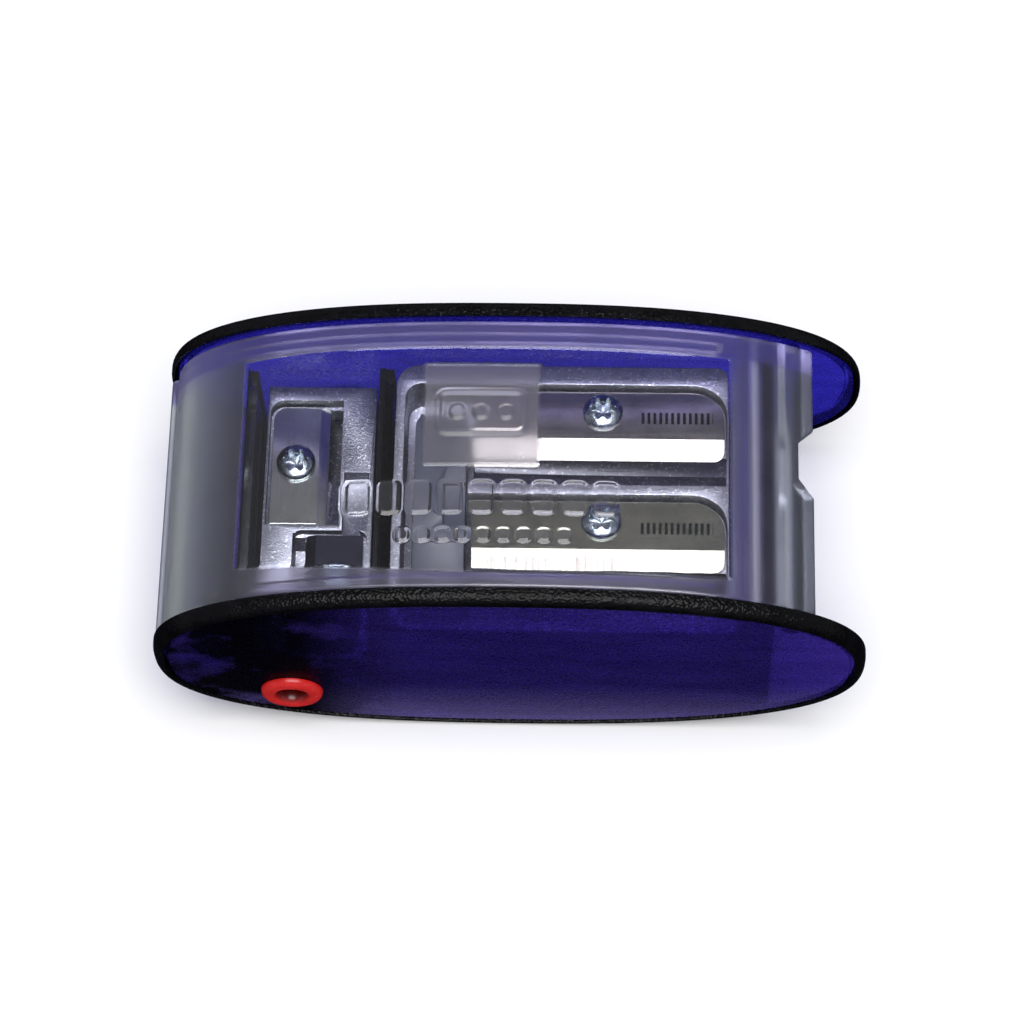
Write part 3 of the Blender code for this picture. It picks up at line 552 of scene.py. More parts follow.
def lid_look():
    """Clear plastic, frosted wherever the mesh's frost attribute is not zero, with painted light and
    shade along it: painted highlight and shade bands by the hinge, and painted shade darkening its tail.
    """
    look, tree = new_look("frosted_clear_plastic")
    frost = node(tree, "ShaderNodeAttribute", attribute_name="frost").outputs["Fac"]
    mottle = noise(tree, 0.25, 4)
    cloudy = product(tree, frost, mapped(tree, mottle, 0.0, 1.0, 0.84, 1.0))
    x, y, _ = places(tree)
    by_back = mapped(tree, y, WINDOW_BACK_Y, WINDOW_BACK_Y + 0.4, 0.0, 0.75)
    # The ramp along x paints light and shade into the frosted plastic's colour
    tint_and_painted_light = mix_colour(tree, by_back, ramp(tree, x, LID_TINT_AND_PAINTED_LIGHT), (0.18, 0.15, 0.46))
    patch_x = inside(tree, x, PATCH_X[0] - GAP, PATCH_X[1] + GAP)
    patch_y = inside(tree, y, PATCH_Y[0] - GAP, PATCH_Y[1] + GAP)
    patch = product(tree, patch_x, patch_y)
    tint_and_painted_light = mix_colour(tree, patch, tint_and_painted_light, (0.47, 0.45, 0.49))
    colour = mix_colour(tree, cloudy, (0.95, 0.95, 0.98), tint_and_painted_light)
    grain = product(tree, noise(tree, 2.5, 1), frost)
    feed(
        tree,
        Base_Color=colour,
        Roughness=mapped(tree, cloudy, 0.0, 1.0, 0.0, 0.31),
        Transmission_Weight=mapped(tree, cloudy, 0.0, 1.0, 1.0, 0.90),
        IOR=1.49,
        Normal=bump(tree, grain, 0.01, 0.2),
    )
    tint = mix_colour(tree, frost, (0.90, 0.90, 0.95), (0.62, 0.62, 0.72))
    pass_shadows(tree, tint)
    return look


def blue_look(name, colours, painted_light_share):
    """Translucent blue plastic with faint flow marks.

    A share of painted light makes it paler and less clear along its lower edge, and painted shade
    darkens its left end in blotches.
    """
    look, tree = new_look(name)
    flow = noise(tree, (0.12, 0.3, 0.5), 5, 0.6)
    grain = noise(tree, (3.5, 3.5, 5), 3)
    blotch = noise(tree, (0.16, 0.3, 0.2), 4, 0.55)
    colour = mix_colour(tree, mapped(tree, flow, 0.35, 0.65), *colours)
    x, _, z = places(tree)
    # Painted light: paler and less clear towards the bottom edge
    low = mapped(tree, z, 0.5, 9.5, 1.0, 0.0)
    low = product(tree, maths(tree, "POWER", low, 1.2), painted_light_share)
    # Painted shade: darker in blotches towards the left end
    left = mapped(tree, x, -10.0, -18.0, 0.0, min(1.0, painted_light_share * 1.5))
    dark = product(tree, left, mapped(tree, blotch, 0.55, 0.66, 1.0, 0.0))
    colour = mix_colour(tree, low, colour, (0.32, 0.26, 0.50))
    colour = mix_colour(tree, dark, colour, (0.003, 0.0025, 0.01))
    feed(
        tree,
        Base_Color=colour,
        Roughness=mapped(tree, grain, 0.3, 0.7, 0.2, 0.3),
        Transmission_Weight=mapped(tree, low, 0.0, 1.0, 0.82, 0.5),
        IOR=1.12,
        Specular_IOR_Level=0.3,
        Normal=bump(tree, grain, 0.008, 0.15),
    )
    pass_shadows(tree, (0.10, 0.09, 0.55))
    return look


def band_look():
    """Black soft-touch plastic with a fine pebble texture."""
    look, tree = new_look("black_soft_plastic")
    inputs = {"Vector": stretched(tree, 4.5), "Scale": 1.0, "Randomness": 1.0}
    pebbles = node(tree, "ShaderNodeTexVoronoi", inputs, feature="SMOOTH_F1").outputs["Distance"]
    wear = mapped(tree, noise(tree, 0.5, 4), 0.4, 0.75)
    feed(
        tree,
        Base_Color=mix_colour(tree, wear, (0.0012, 0.0012, 0.0016), (0.003, 0.003, 0.004)),
        Roughness=mapped(tree, wear, 0.0, 1.0, 0.22, 0.32),
        Specular_IOR_Level=0.12,
        Normal=bump(tree, pebbles, 0.09, 1.0),
    )
    return look


def cast_look(name, colour, roughness):
    """Pressure-cast metal with fine sparkling crystals."""
    look, tree = new_look(name)
    cloud = noise(tree, 0.35, 5, 0.6)
    inputs = {"Vector": stretched(tree, 6), "Scale": 1.0}
    crystal = node(tree, "ShaderNodeTexVoronoi", inputs)
    fleck = node(tree, "ShaderNodeSeparateColor", {0: crystal.outputs["Color"]}).outputs[0]
    base = two_tone(tree, mapped(tree, cloud, 0.35, 0.65), colour, 0.72)
    base = mix_colour(tree, mapped(tree, fleck, 0.86, 1.0, 0.0, 0.7), base, (0.85, 0.86, 0.92))
    feed(
        tree,
        Base_Color=base,
        Metallic=1.0,
        Roughness=mapped(tree, fleck, 0.0, 1.0, roughness + 0.08, roughness - 0.08),
        Normal=bump(tree, crystal.outputs["Distance"], 0.03, 0.6),
    )
    return look


# Row of etched ticks on a long blade, and the strength of the streaks across its bevel
ETCHED_X = (11.2, 17.6)
ETCHED_PITCH = 0.52
ETCHED_FROM_EDGE = (3.5, 4.6)
STREAKS = {"wood": 0.2, "graphite": 0.8}
STREAKS_LENGTH = 15


def steel_look(name, colour, grain_scale, hole=None):
    """Ground steel with fine lines. The blade of a pencil hole has etched ticks and a streaked bevel."""
    look, tree = new_look(name)
    lines = noise(tree, grain_scale, 4, 0.65)
    smear = noise(tree, 0.3, 4, 0.6)
    base = two_tone(tree, mapped(tree, smear, 0.35, 0.7), colour, 0.75)
    if hole:
        low, _ = box(BLADE_NODES[hole])
        x, y, _ = places(tree)
        ticks = mapped(tree, maths(tree, "PINGPONG", x, ETCHED_PITCH / 2), 0.10, 0.15, 1.0, 0.0)
        row_x = inside(tree, x, *ETCHED_X)
        row_y = inside(tree, y, low.y + ETCHED_FROM_EDGE[0], low.y + ETCHED_FROM_EDGE[1])
        row = product(tree, row_x, row_y)
        base = mix_colour(tree, product(tree, row, ticks), base, (0.03, 0.03, 0.03))
        streaks = mapped(tree, noise(tree, (6, 0.04, 0.04), 3), 0.35, 0.6, 0.0, STREAKS[hole])
        bevel_x = inside(tree, x, low.x, low.x + STREAKS_LENGTH, 3)
        bevel_y = inside(tree, y, low.y - 0.2, low.y + BLADE_BEVEL - 0.5, 0.4)
        ground = product(tree, streaks, product(tree, bevel_x, bevel_y))
        base = mix_colour(tree, ground, base, (0.14, 0.125, 0.13))
    feed(
        tree,
        Base_Color=base,
        Metallic=1.0,
        Roughness=mapped(tree, lines, 0.3, 0.7, 0.13, 0.22),
        Normal=bump(tree, lines, 0.004, 0.5),
    )
    return look


def screw_look():
    look, tree = new_look("zinc_plated_screw")
    stain = noise(tree, 1.5, 4, 0.6)
    stained = mapped(tree, stain, 0.35, 0.7)
    colour = mix_colour(tree, stained, (0.20, 0.24, 0.28), (0.46, 0.51, 0.55))
    feed(
        tree,
        Base_Color=colour,
        Metallic=1.0,
        Roughness=mapped(tree, stain, 0.3, 0.7, 0.14, 0.3),
        Normal=bump(tree, noise(tree, 5, 2), 0.01, 0.5),
    )
    return look


def plastic_look(name, colour, roughness, shine=0.5):
    """Moulded plastic of faintly uneven shade."""
    look, tree = new_look(name)
    shade = noise(tree, 0.6, 4)
    feed(
        tree,
        Base_Color=two_tone(tree, mapped(tree, shade, 0.35, 0.65), colour, 0.8),
        Roughness=mapped(tree, shade, 0.3, 0.7, roughness, roughness + 0.08),
        Specular_IOR_Level=shine,
        Normal=bump(tree, noise(tree, 4, 2), 0.006, 0.4),
    )
    return look


def bush_look(name, colour, hole_shade_colour, side):
    """Glossy plastic, with painted shade darkening the inside of its hole."""
    look, tree = new_look(name)
    centre = middle(f"lead_bush_{side}")
    x, _, z = places(tree)
    across = maths(tree, "SUBTRACT", x, centre.x)
    up = maths(tree, "SUBTRACT", z, centre.z)
    squares = maths(tree, "ADD", product(tree, across, across), product(tree, up, up))
    radius = maths(tree, "SQRT", squares)
    # Painted shade: the colour darkens inside the hole and at its mouth
    hole = mapped(tree, radius, BUSH_HOLE_RADIUS[side] + 0.1, BUSH_HOLE_RADIUS[side] + 0.5, 1.0, 0.0)
    shade = mapped(tree, noise(tree, 0.6, 4), 0.35, 0.65)
    base = two_tone(tree, shade, colour, 0.8)
    feed(
        tree,
        Base_Color=mix_colour(tree, hole, base, hole_shade_colour),
        Roughness=mapped(tree, shade, 0.0, 1.0, 0.22, 0.30),
        Normal=bump(tree, noise(tree, 4, 2), 0.006, 0.4),
    )
    return look


def floor_look():
    look, tree = new_look("pale_floor")
    shade = noise(tree, 0.004, 2)
    feed(
        tree,
        Base_Color=mix_colour(tree, shade, (0.88, 0.88, 0.88), (0.91, 0.91, 0.91)),
        Roughness=0.9,
    )
    return look


# --- Bands, panels and bushes ---------------------------------------------------------------------

BAND_WIDTH = 1.0
BAND_LIP = 0.3
REBATE_DEPTH = 0.8
CROWN_RADIUS = 0.85  # how far the band's outer face is rounded over
CROWN_START = 0.5
CROWN_STEPS = 12
BAND_BREAK_EDGE = 0.07


def band_section():
    """Section of a band as (inset from its outline, depth from its inner face)."""
    depth = BAND_HIGH.y - BAND_LOW.y
    crown = []
    for turn in quarter(CROWN_STEPS):
        inset = CROWN_RADIUS * (1 - math.cos(turn))
        crown.append((inset, CROWN_START + (depth - CROWN_START) * math.sin(turn)))
    return [
        (BAND_BREAK_EDGE, 0),
        (0, BAND_BREAK_EDGE),
        *crown,
        (BAND_WIDTH - BAND_BREAK_EDGE, depth - 0.02),
        (BAND_WIDTH, depth - 0.15),
        (BAND_WIDTH, REBATE_DEPTH),
        (BAND_LIP, REBATE_DEPTH),
        (BAND_LIP, 0),
    ]


def rim_band(side, look):
    """Soft band with a crowned outer edge."""
    loops = [(oval(inset), depth) for inset, depth in band_section()]
    inner_y = BAND_LOW.y
    rings = []
    for step in range(len(loops[0][0])):
        ring = []
        for loop, depth in loops:
            x, z = loop[step]
            ring.append((x, SIDES[side] * (inner_y + depth), max(0, z)))
        rings.append(ring)
    band = skin(f"soft_band_{side}", rings, around=True)
    return dress(band, look, "rim_black", "case", f"rim_band_{side}")


PANEL_INSET = 1.3
FLANGE_INSET = 0.6
FLANGE_THICKNESS = 0.5
BUSH_BODY_RADIUS = 2.1
TRUNNION_RADIUS = 0.9
RUNNING_FIT = 0.06
TRUNNION_END_Y = LID_HIGH.y


def side_panel(side, look):
    """Translucent oval panel, with a flange behind the band."""
    inner, outer = PANEL_LOW.y, PANEL_HIGH.y
    stations = (  # (inset, y), from the inner face out
        (FLANGE_INSET + 0.08, inner),
        (FLANGE_INSET, inner + 0.08),
        (FLANGE_INSET, inner + FLANGE_THICKNESS),
        (PANEL_INSET, inner + FLANGE_THICKNESS),
        (PANEL_INSET, outer - 0.12),
        (PANEL_INSET + 0.04, outer - 0.04),
        (PANEL_INSET + 0.12, outer),
    )
    way = SIDES[side]
    rings = [[(x, way * y, z) for x, z in oval(inset)] for inset, y in stations]
    panel = skin(f"oval_panel_{side}", rings)
    centre = middle(f"lead_bush_{side}")
    depth = TRUNNION_END_Y - inner + SMALL_GAP
    bush_at, pin_at = (centre.x, way * inner, centre.z), (HINGE_X, way * inner, HINGE_Z)
    cut(
        panel,
        cylinder("hole", BUSH_BODY_RADIUS + SMALL_GAP, -1, 3, bush_at, (0, way, 0), 72),
        cylinder("socket", TRUNNION_RADIUS + RUNNING_FIT, -1, depth, pin_at, (0, way, 0), 48),
    )
    return dress(panel, look, "case_blue", "case", f"side_panel_{side}")


BUSH_FLARE_RADIUS = {"front": 1.75, "back": 2.1}
BUSH_FLARE_DEPTH = 0.5
BUSH_CHAMFER = 0.1
BUSH_SLOTS = {"front": "bush_red", "back": "bush_blue"}
ROUND_STEPS = 8


def lead_bush(side, look):
    """Bush with a rounded flange and a flared mouth."""
    low, high = box(f"lead_bush_{side}")
    centre = middle(f"lead_bush_{side}")
    radius = (high.x - low.x) / 2
    outer_y = max(abs(low.y), abs(high.y))
    flange_y = PANEL_HIGH.y + SMALL_GAP / 2
    inner_y = min(abs(low.y), abs(high.y))
    round_off = outer_y - flange_y - SMALL_GAP / 2
    hole = BUSH_HOLE_RADIUS[side]
    flare = BUSH_FLARE_RADIUS[side]
    flare_foot = flange_y - BUSH_FLARE_DEPTH
    profile = []
    for turn in quarter(ROUND_STEPS):
        reach = hole + (flare - hole) * (1 - math.cos(turn))
        profile.append((reach, flare_foot + (outer_y - flare_foot) * math.sin(turn)))
    for turn in quarter(ROUND_STEPS):
        reach = radius - round_off * (1 - math.sin(turn))
        profile.append((reach, outer_y - round_off * (1 - math.cos(turn))))
    profile += [
        (radius, flange_y),
        (BUSH_BODY_RADIUS, flange_y),
        (BUSH_BODY_RADIUS, inner_y + BUSH_CHAMFER),
        (BUSH_BODY_RADIUS - BUSH_CHAMFER, inner_y),
        (hole, inner_y),
    ]
    bush = turned(f"flanged_bush_{side}", profile, (centre.x, 0, centre.z), (0, SIDES[side], 0), 96)
    return dress(bush, look, BUSH_SLOTS[side], "case", f"lead_bush_{side}")


# --- Blades and screws ----------------------------------------------------------------------------

def bore(hole, clearance):
    """Space of a pencil hole: straight from outside the end wall, then a cone whose top lies level."""
    low, _ = box(BLADE_NODES[hole])
    radius, tip = BORE_RADIUS + clearance, TIP_RADIUS[hole] + clearance
    length = BORE_MOUTH_X - BORE_TIP_X
    lean = math.atan2(radius - tip, length)
    cone = length / math.cos(lean)
    profile = [(0, BORE_RUN_OUT), (radius, BORE_RUN_OUT), (radius, 0), (tip, -cone), (0, -cone)]
    origin = (BORE_MOUTH_X, low.y, low.z - BORE_RADIUS / math.cos(lean))
    return turned(f"bore_{hole}", profile, origin, (math.cos(lean), 0, -math.sin(lean)), 64)


def screw_hole(x, y, low, high, radius=SHANK_RADIUS + SMALL_GAP):
    """Space of a screw's shank, from low to high."""
    return cylinder("hole", radius, low, high, (x, y, 0), (0, 0, 1), 40)


def ground_off(edge, into, width, bottom, top):
    """Section of what is ground off a blade, from its edge up to its top face."""
    slope = (top - bottom - EDGE_THICKNESS) / width
    return [
        (edge - into * CUT_OVER, bottom + EDGE_THICKNESS - CUT_OVER * slope),
        (edge + into * width, top),
        (edge + into * width, top + CUT_OVER),
        (edge - into * CUT_OVER, top + CUT_OVER),
    ]


def sharpening_blade(hole, look):
    """Blade with a ground edge, two rounded corners and a screw hole."""
    name = BLADE_NODES[hole]
    low, high = box(name)
    radii = (BLADE_SHARP_CORNER, BLADE_SMALL_CORNER, BLADE_CORNER, BLADE_SHARP_CORNER)
    blade = prism(f"{name}_ground", rounded_rectangle(low, high, radii, 12), "Z", low.z, high.z)
    grind = ground_off(low.y, 1, BLADE_BEVEL, low.z, high.z)
    x = middle(f"{name}_screw").x
    cut(
        blade,
        prism("grind", grind, "X", low.x - CUT_OVER, high.x + CUT_OVER),
        screw_hole(x, low.y + SCREW_FROM_EDGE, low.z - CUT_OVER, high.z + CUT_OVER),
    )
    soften(blade, 0.05, 10)
    return dress(blade, look, "blade_steel", "case", name, smooth=12)


HEAD_HEIGHT = 0.95
HEAD_RIM = 0.3
HEAD_CHAMFER = 0.08
SHANK_CHAMFER = 0.2
SCREW_SIDES = 96
DOME_STEPS = 12
LOBE_RADIUS = 0.98
LOBE_DEPTH = 0.2
RECESS_DEPTH = 1.0
RECESS_FLARE = 1.06  # how much wider the recess is where it meets the dome


def lobe(turn):
    """Radius of the six-lobed recess."""
    return LOBE_RADIUS + LOBE_DEPTH * math.cos(6 * turn)


def blade_screw(name, look):
    """Domed screw with a six-lobed recess."""
    low, high = box(name)
    x, y, _ = middle(name)
    radius = (high.x - low.x) / 2
    seat = high.z - HEAD_HEIGHT
    turns = [2 * math.pi * step / SCREW_SIDES for step in range(SCREW_SIDES)]

    def at(turn, reach, z):
        return x + reach * math.cos(turn), y + reach * math.sin(turn), z

    def dome(reach):
        bulge = (HEAD_HEIGHT - HEAD_RIM) * math.sqrt(max(0, 1 - (reach / radius) ** 2))
        return seat + min(HEAD_HEIGHT, HEAD_RIM + bulge)

    below = (
        (SHANK_RADIUS - SHANK_CHAMFER, low.z),
        (SHANK_RADIUS, low.z + SHANK_CHAMFER),
        (SHANK_RADIUS, seat),
        (radius - HEAD_CHAMFER, seat),
        (radius, seat + HEAD_CHAMFER),
        (radius, seat + HEAD_RIM * 0.8),
    )
    rings = [[at(turn, reach, z) for turn in turns] for reach, z in below]
    for climb in quarter(DOME_STEPS):
        part = 1 - math.cos(climb)
        reaches = [radius + (lobe(turn) * RECESS_FLARE - radius) * part for turn in turns]
        rings.append([at(turn, reach, dome(reach)) for turn, reach in zip(turns, reaches)])
    floor = high.z - RECESS_DEPTH
    for share, z in ((1, high.z - 0.16), (0.94, floor), (0.5, floor - 0.03)):
        rings.append([at(turn, lobe(turn) * share, z) for turn in turns])
    rings.append([at(turn, 0.1, floor - 0.12) for turn in turns])
    screw = skin(f"{name}_domed", rings)
    return dress(screw, look, "screw_zinc", "case", name, smooth=40)


POINTER_BLADE_THICKNESS = 0.5
POINTER_SLOPE = math.radians(1.5)
POINTER_BEVEL = 0.9
POINTER_CORNER = 1.3
POINTER_SMALL_CORNER = 0.15
BESIDE_POINTER = 1.15  # room for shavings beside a pointer blade's edge


def pointer_frame(side):
    """Lean of a pointer blade about its high inner end."""
    low, high = box(f"pointer_blade_{side}")
    inner = low.y if side == "back" else high.y
    lean = -SIDES[side] * POINTER_SLOPE
    place = Matrix.Translation((0, inner * MM, high.z * MM))
    return place @ Matrix.Rotation(lean, 4, "X"), inner


def leaned(obj, side):
    """Puts a piece made about the blade's high end in its place."""
    obj.data.transform(pointer_frame(side)[0])
    return obj


def pointer_blade(side, look):
    """Short blade of the lead pointer, with one ground edge and one rounded corner."""
    name = f"pointer_blade_{side}"
    low, high = box(name)
    inner = pointer_frame(side)[1]
    length = (high.y - low.y) / math.cos(POINTER_SLOPE)
    radii = [POINTER_SMALL_CORNER] * 4
    if side == "back":
        start, end, edge_x, into = 0, length, high.x, -1
        radii[3] = POINTER_CORNER
    else:
        start, end, edge_x, into = -length, 0, low.x, 1
        radii[1] = POINTER_CORNER
    outline = rounded_rectangle((low.x, start), (high.x, end), radii, 10)
    blade = prism(f"{name}_ground", outline, "Z", -POINTER_BLADE_THICKNESS, 0)
    grind = ground_off(edge_x, into, POINTER_BEVEL, -POINTER_BLADE_THICKNESS, 0)
    screw = middle(f"pointer_screw_{side}")
    y = (screw.y - inner) / math.cos(POINTER_SLOPE)
    cut(
        blade,
        prism("grind", grind, "Y", start - CUT_OVER, end + CUT_OVER),
        screw_hole(screw.x, y, -2, 1, SHANK_RADIUS + 0.15),
    )
    leaned(blade, side)
    soften(blade, 0.05, 10)
    return dress(blade, look, "blade_steel", "case", name, smooth=12)


def spare_blade(place, look):
    """Spare blade standing on its back edge."""
    name = f"spare_blade_{place}"
    low, high = box(name)
    radii = (BLADE_CORNER, BLADE_SHARP_CORNER, BLADE_SHARP_CORNER, BLADE_SMALL_CORNER)
    outline = rounded_rectangle((low.y, low.z), (high.y, high.z), radii, 12)
    blade = prism(f"{name}_ground", outline, "X", low.x, high.x)
    grind = [
        (low.x + EDGE_THICKNESS, high.z + CUT_OVER),
        (low.x + EDGE_THICKNESS, high.z),
        (high.x, high.z - BLADE_BEVEL),
        (high.x + CUT_OVER, high.z - BLADE_BEVEL),
        (high.x + CUT_OVER, high.z + CUT_OVER),
    ]
    place = (low.x, 0, high.z - SCREW_FROM_EDGE)
    hole = cylinder("hole", SHANK_RADIUS + SMALL_GAP, -1, 2, place, (1, 0, 0), 40)
    cut(blade, prism("grind", grind, "Y", low.y - CUT_OVER, high.y + CUT_OVER), hole)
    soften(blade, 0.04, 10)
    return dress(blade, look, "blade_steel", "case", name, smooth=12)


# --- Metal blocks ---------------------------------------------------------------------------------

SEAT_UNDER_BLADE = 0.1
BLOCK_CORNER = 2.0
BLOCK_SMALL_CORNER = 0.6
BLOCK_STEPS = 10


def blade_seat(hole):
    """Space of a blade's seat."""
    low, high = box(BLADE_NODES[hole])
    start, end = (low.x - GAP, low.y - CUT_OVER), (high.x + GAP, high.y + GAP)
    outline = rounded_rectangle(start, end, (0, 0, BLADE_CORNER + GAP, 0), 12)
    return prism("seat", outline, "Z", low.z - SEAT_UNDER_BLADE, BLOCK_HIGH.z + GAP)


def shavings_slot(hole):
    """Sloping space in front of a cutting edge."""
    low, high = box(BLADE_NODES[hole])
    edge = low.y
    seat = low.z - SEAT_UNDER_BLADE
    top = BLOCK_HIGH.z + GAP
    near = edge + SMALL_GAP
    outline = [(near, seat - 1.2), (near, top), (edge - 3.0, top), (edge - 2.7, seat + 0.9)]
    return prism("slot", outline, "X", low.x - SMALL_GAP, high.x + SMALL_GAP)


def sharpener_block(look):
    """Cast block with two pencil holes, seats for two blades and a pocket for the stop plate."""
    radii = (BLOCK_CORNER, BLOCK_SMALL_CORNER, BLOCK_CORNER, BLOCK_CORNER)
    outline = rounded_rectangle(BLOCK_LOW, BLOCK_HIGH, radii, BLOCK_STEPS)
    body = prism("cast_block", outline, "Z", BLOCK_LOW.z, BLOCK_HIGH.z)
    blade_low, _ = box("wood_blade")
    start, end = (STOP_LOW.x - 0.9, STOP_LOW.y - 0.5), (blade_low.x, STOP_HIGH.y + 2.6)
    pocket = rounded_rectangle(start, end, (0.6, 0, 0, 1.4), BLOCK_STEPS)
    cut(body, prism("pocket", pocket, "Z", STOP_LOW.z - SMALL_GAP, BLOCK_HIGH.z + GAP))
    for hole in BLADE_NODES:
        cut(body, blade_seat(hole))
        cut(body, shavings_slot(hole))
    soften(body, 0.22, 25, 3)
    for hole, name in BLADE_NODES.items():
        low, _ = box(name)
        screw_low, _ = box(f"{name}_screw")
        seat = low.z - SEAT_UNDER_BLADE
        x, y = middle(f"{name}_screw").x, low.y + SCREW_FROM_EDGE
        cut(body, bore(hole, 0))
        cut(body, screw_hole(x, y, screw_low.z - GAP, seat + GAP))
    return dress(body, look, "cast_metal", "case", "sharpener_block")


STOP_STEP_Y = -4.2
STOP_DROP = 0.7
BOSS_PLACE = (-5.9, -0.7)
BOSS_RADIUS = 1.15
BOSS_HEIGHT = 0.3


def stop_plate(look):
    """Plate that stops a pencil's point, with a half-round boss and a lower front part."""
    low, high = STOP_LOW, STOP_HIGH
    x, y = BOSS_PLACE
    outline = rounded_rectangle(low, high, (0.3, 0.3, 0.3, 1.2), 8)
    plate = prism("stop_plate", outline, "Z", low.z, high.z - BOSS_HEIGHT)
    step_end = (high.x + 1, STOP_STEP_Y, high.z + 1)
    cut(plate, block("lower_front", (low.x - 1, low.y - 1, high.z - STOP_DROP), step_end))
    join(plate, cylinder("boss", BOSS_RADIUS, high.z - 1, high.z, (x, y, 0), (0, 0, 1), 48))
    cut(plate, block("boss_flat", (x, y - 2, high.z - 0.8), (x + 2, y + 2, high.z + 1)))
    soften(plate, 0.12, 30)
    return dress(plate, look, "stop_grey", "case", "point_stop_plate")


def pointer_pocket(side):
    """Space for a pointer blade, wider beside its cutting edge."""
    low, high = box(f"pointer_blade_{side}")
    length = (high.y - low.y) / math.cos(POINTER_SLOPE)
    if side == "back":
        start, end = (low.x - GAP, -GAP), (high.x + BESIDE_POINTER, length + GAP)
        radii = (0, 0, 0, POINTER_CORNER)
    else:
        start, end = (low.x - BESIDE_POINTER, -length - 2 - GAP), (high.x + GAP, GAP)
        radii = (0, 0, 0.8, 0.8)
    outline = rounded_rectangle(start, end, radii, 8)
    return leaned(prism("pocket", outline, "Z", -POINTER_BLADE_THICKNESS - SMALL_GAP, 4), side)


def pointer_slot(side):
    """Deep slot beside a pointer blade's edge."""
    low, high = box(f"pointer_blade_{side}")
    if side == "back":
        start_x, end_x = high.x - GAP, high.x + BESIDE_POINTER
    else:
        start_x, end_x = low.x - BESIDE_POINTER, low.x + GAP
    return block("slot", (start_x, low.y, POINTER_LOW.z + 4), (end_x, high.y, POINTER_HIGH.z + GAP))


def lead_bore(side):
    """Space of a lead hole, rising from its bush to the blade's high end."""
    way = SIDES[side]
    centre = middle(f"lead_bush_{side}")
    blade_low, blade_high = box(f"pointer_blade_{side}")
    edge = blade_high.x if side == "back" else blade_low.x
    mouth = Vector((centre.x, way * (POINTER_HIGH.y + GAP), centre.z))
    tip = Vector((edge, way * 1.0, blade_high.z - 0.9))
    radius = BUSH_HOLE_RADIUS[side]
    length = (tip - mouth).length
    profile = [(0, 0), (radius, 0), (radius, -0.45 * length), (0.2, -length), (0, -length)]
    return turned("lead_bore", profile, mouth, mouth - tip, 32)


def pointer_block(look):
    """Small cast block with a blade for each of two leads."""
    body = block("cast_pointer", POINTER_LOW, POINTER_HIGH)
    back_high = box("pointer_blade_back")[1]
    start = (back_high.x + BESIDE_POINTER + GAP, -1.6, POINTER_HIGH.z - 1.6)
    end = (POINTER_HIGH.x - 0.4, 4.15, POINTER_HIGH.z + GAP)
    cut(body, block("step", start, end))
    for side in SIDES:
        cut(body, pointer_pocket(side))
        cut(body, pointer_slot(side))
    soften(body, 0.16, 30)
    for side in SIDES:
        screw_low, _ = box(f"pointer_screw_{side}")
        screw = middle(f"pointer_screw_{side}")
        cut(body, lead_bore(side))
        cut(body, screw_hole(screw.x, screw.y, screw_low.z - GAP, POINTER_HIGH.z))
    return dress(body, look, "cast_metal", "case", "pointer_block")


# --- Tray -----------------------------------------------------------------------------------------

END_WALL_X = (21.6, 22.9)
END_WALL_TOP = 19.9
END_WALL_FOOT = 4.4
RIB_HALF = 0.6
HOLDER_WALL = 0.5
HOLDER_FOOT = {"middle": 1.6, "left": 4.6}
HOLDER_TOP = {"middle": 17.0, "left": 16.4}
TRAY_LEFT_Z = (7.65, 13.2)  # the tray's steep left end stays between these heights
LEFT_STEPS = 16
FLOOR_STEPS = 120
TRAY_RIB_Y = 7.5


def tray_floor():
    """Section of the tray from its left end, under the blocks, to the end wall."""
    foot, top = TRAY_LEFT_Z
    outer = []
    for step in range(1, LEFT_STEPS):
        z = top - (top - foot) * step / LEFT_STEPS
        outer.append((-oval_reach(z, SHELL_A, SHELL_B), z))
    first, last = outer[-1][0] + 0.25, END_WALL_X[1]
    for step in range(FLOOR_STEPS + 1):
        x = first + (last - first) * step / FLOOR_STEPS
        outer.append((x, MIDDLE_Z - oval_height(x, SHELL_A, SHELL_B)))
    shrink_a = (SHELL_A - SHELL_WALL) / SHELL_A
    shrink_b = (SHELL_B - SHELL_WALL) / SHELL_B
    inner = [(x * shrink_a, MIDDLE_Z + (z - MIDDLE_Z) * shrink_b) for x, z in outer]
    return outer + inner[::-1]


def spare_holder(place):
    """Wall behind a spare blade, and the shelf under it with a post at each end."""
    low, high = box(f"spare_blade_{place}")
    foot, top = HOLDER_FOOT[place], HOLDER_TOP[place]
    face = low.x - SMALL_GAP
    half = SHELL_HALF_WIDTH - SMALL_GAP
    wall = block(f"holder_{place}", (face - HOLDER_WALL, -half, foot), (face, half, top))
    inner, post_y = half - SMALL_GAP, high.y + SMALL_GAP
    post_top, shelf = top - SMALL_GAP, low.z - SMALL_GAP
    cradle = [
        (-inner, foot + SMALL_GAP),
        (inner, foot + SMALL_GAP),
        (inner, post_top),
        (post_y, post_top),
        (post_y, shelf),
        (-post_y, shelf),
        (-post_y, post_top),
        (-inner, post_top),
    ]
    return wall, prism("cradle", cradle, "X", face - HOLDER_WALL / 2, high.x + SMALL_GAP)


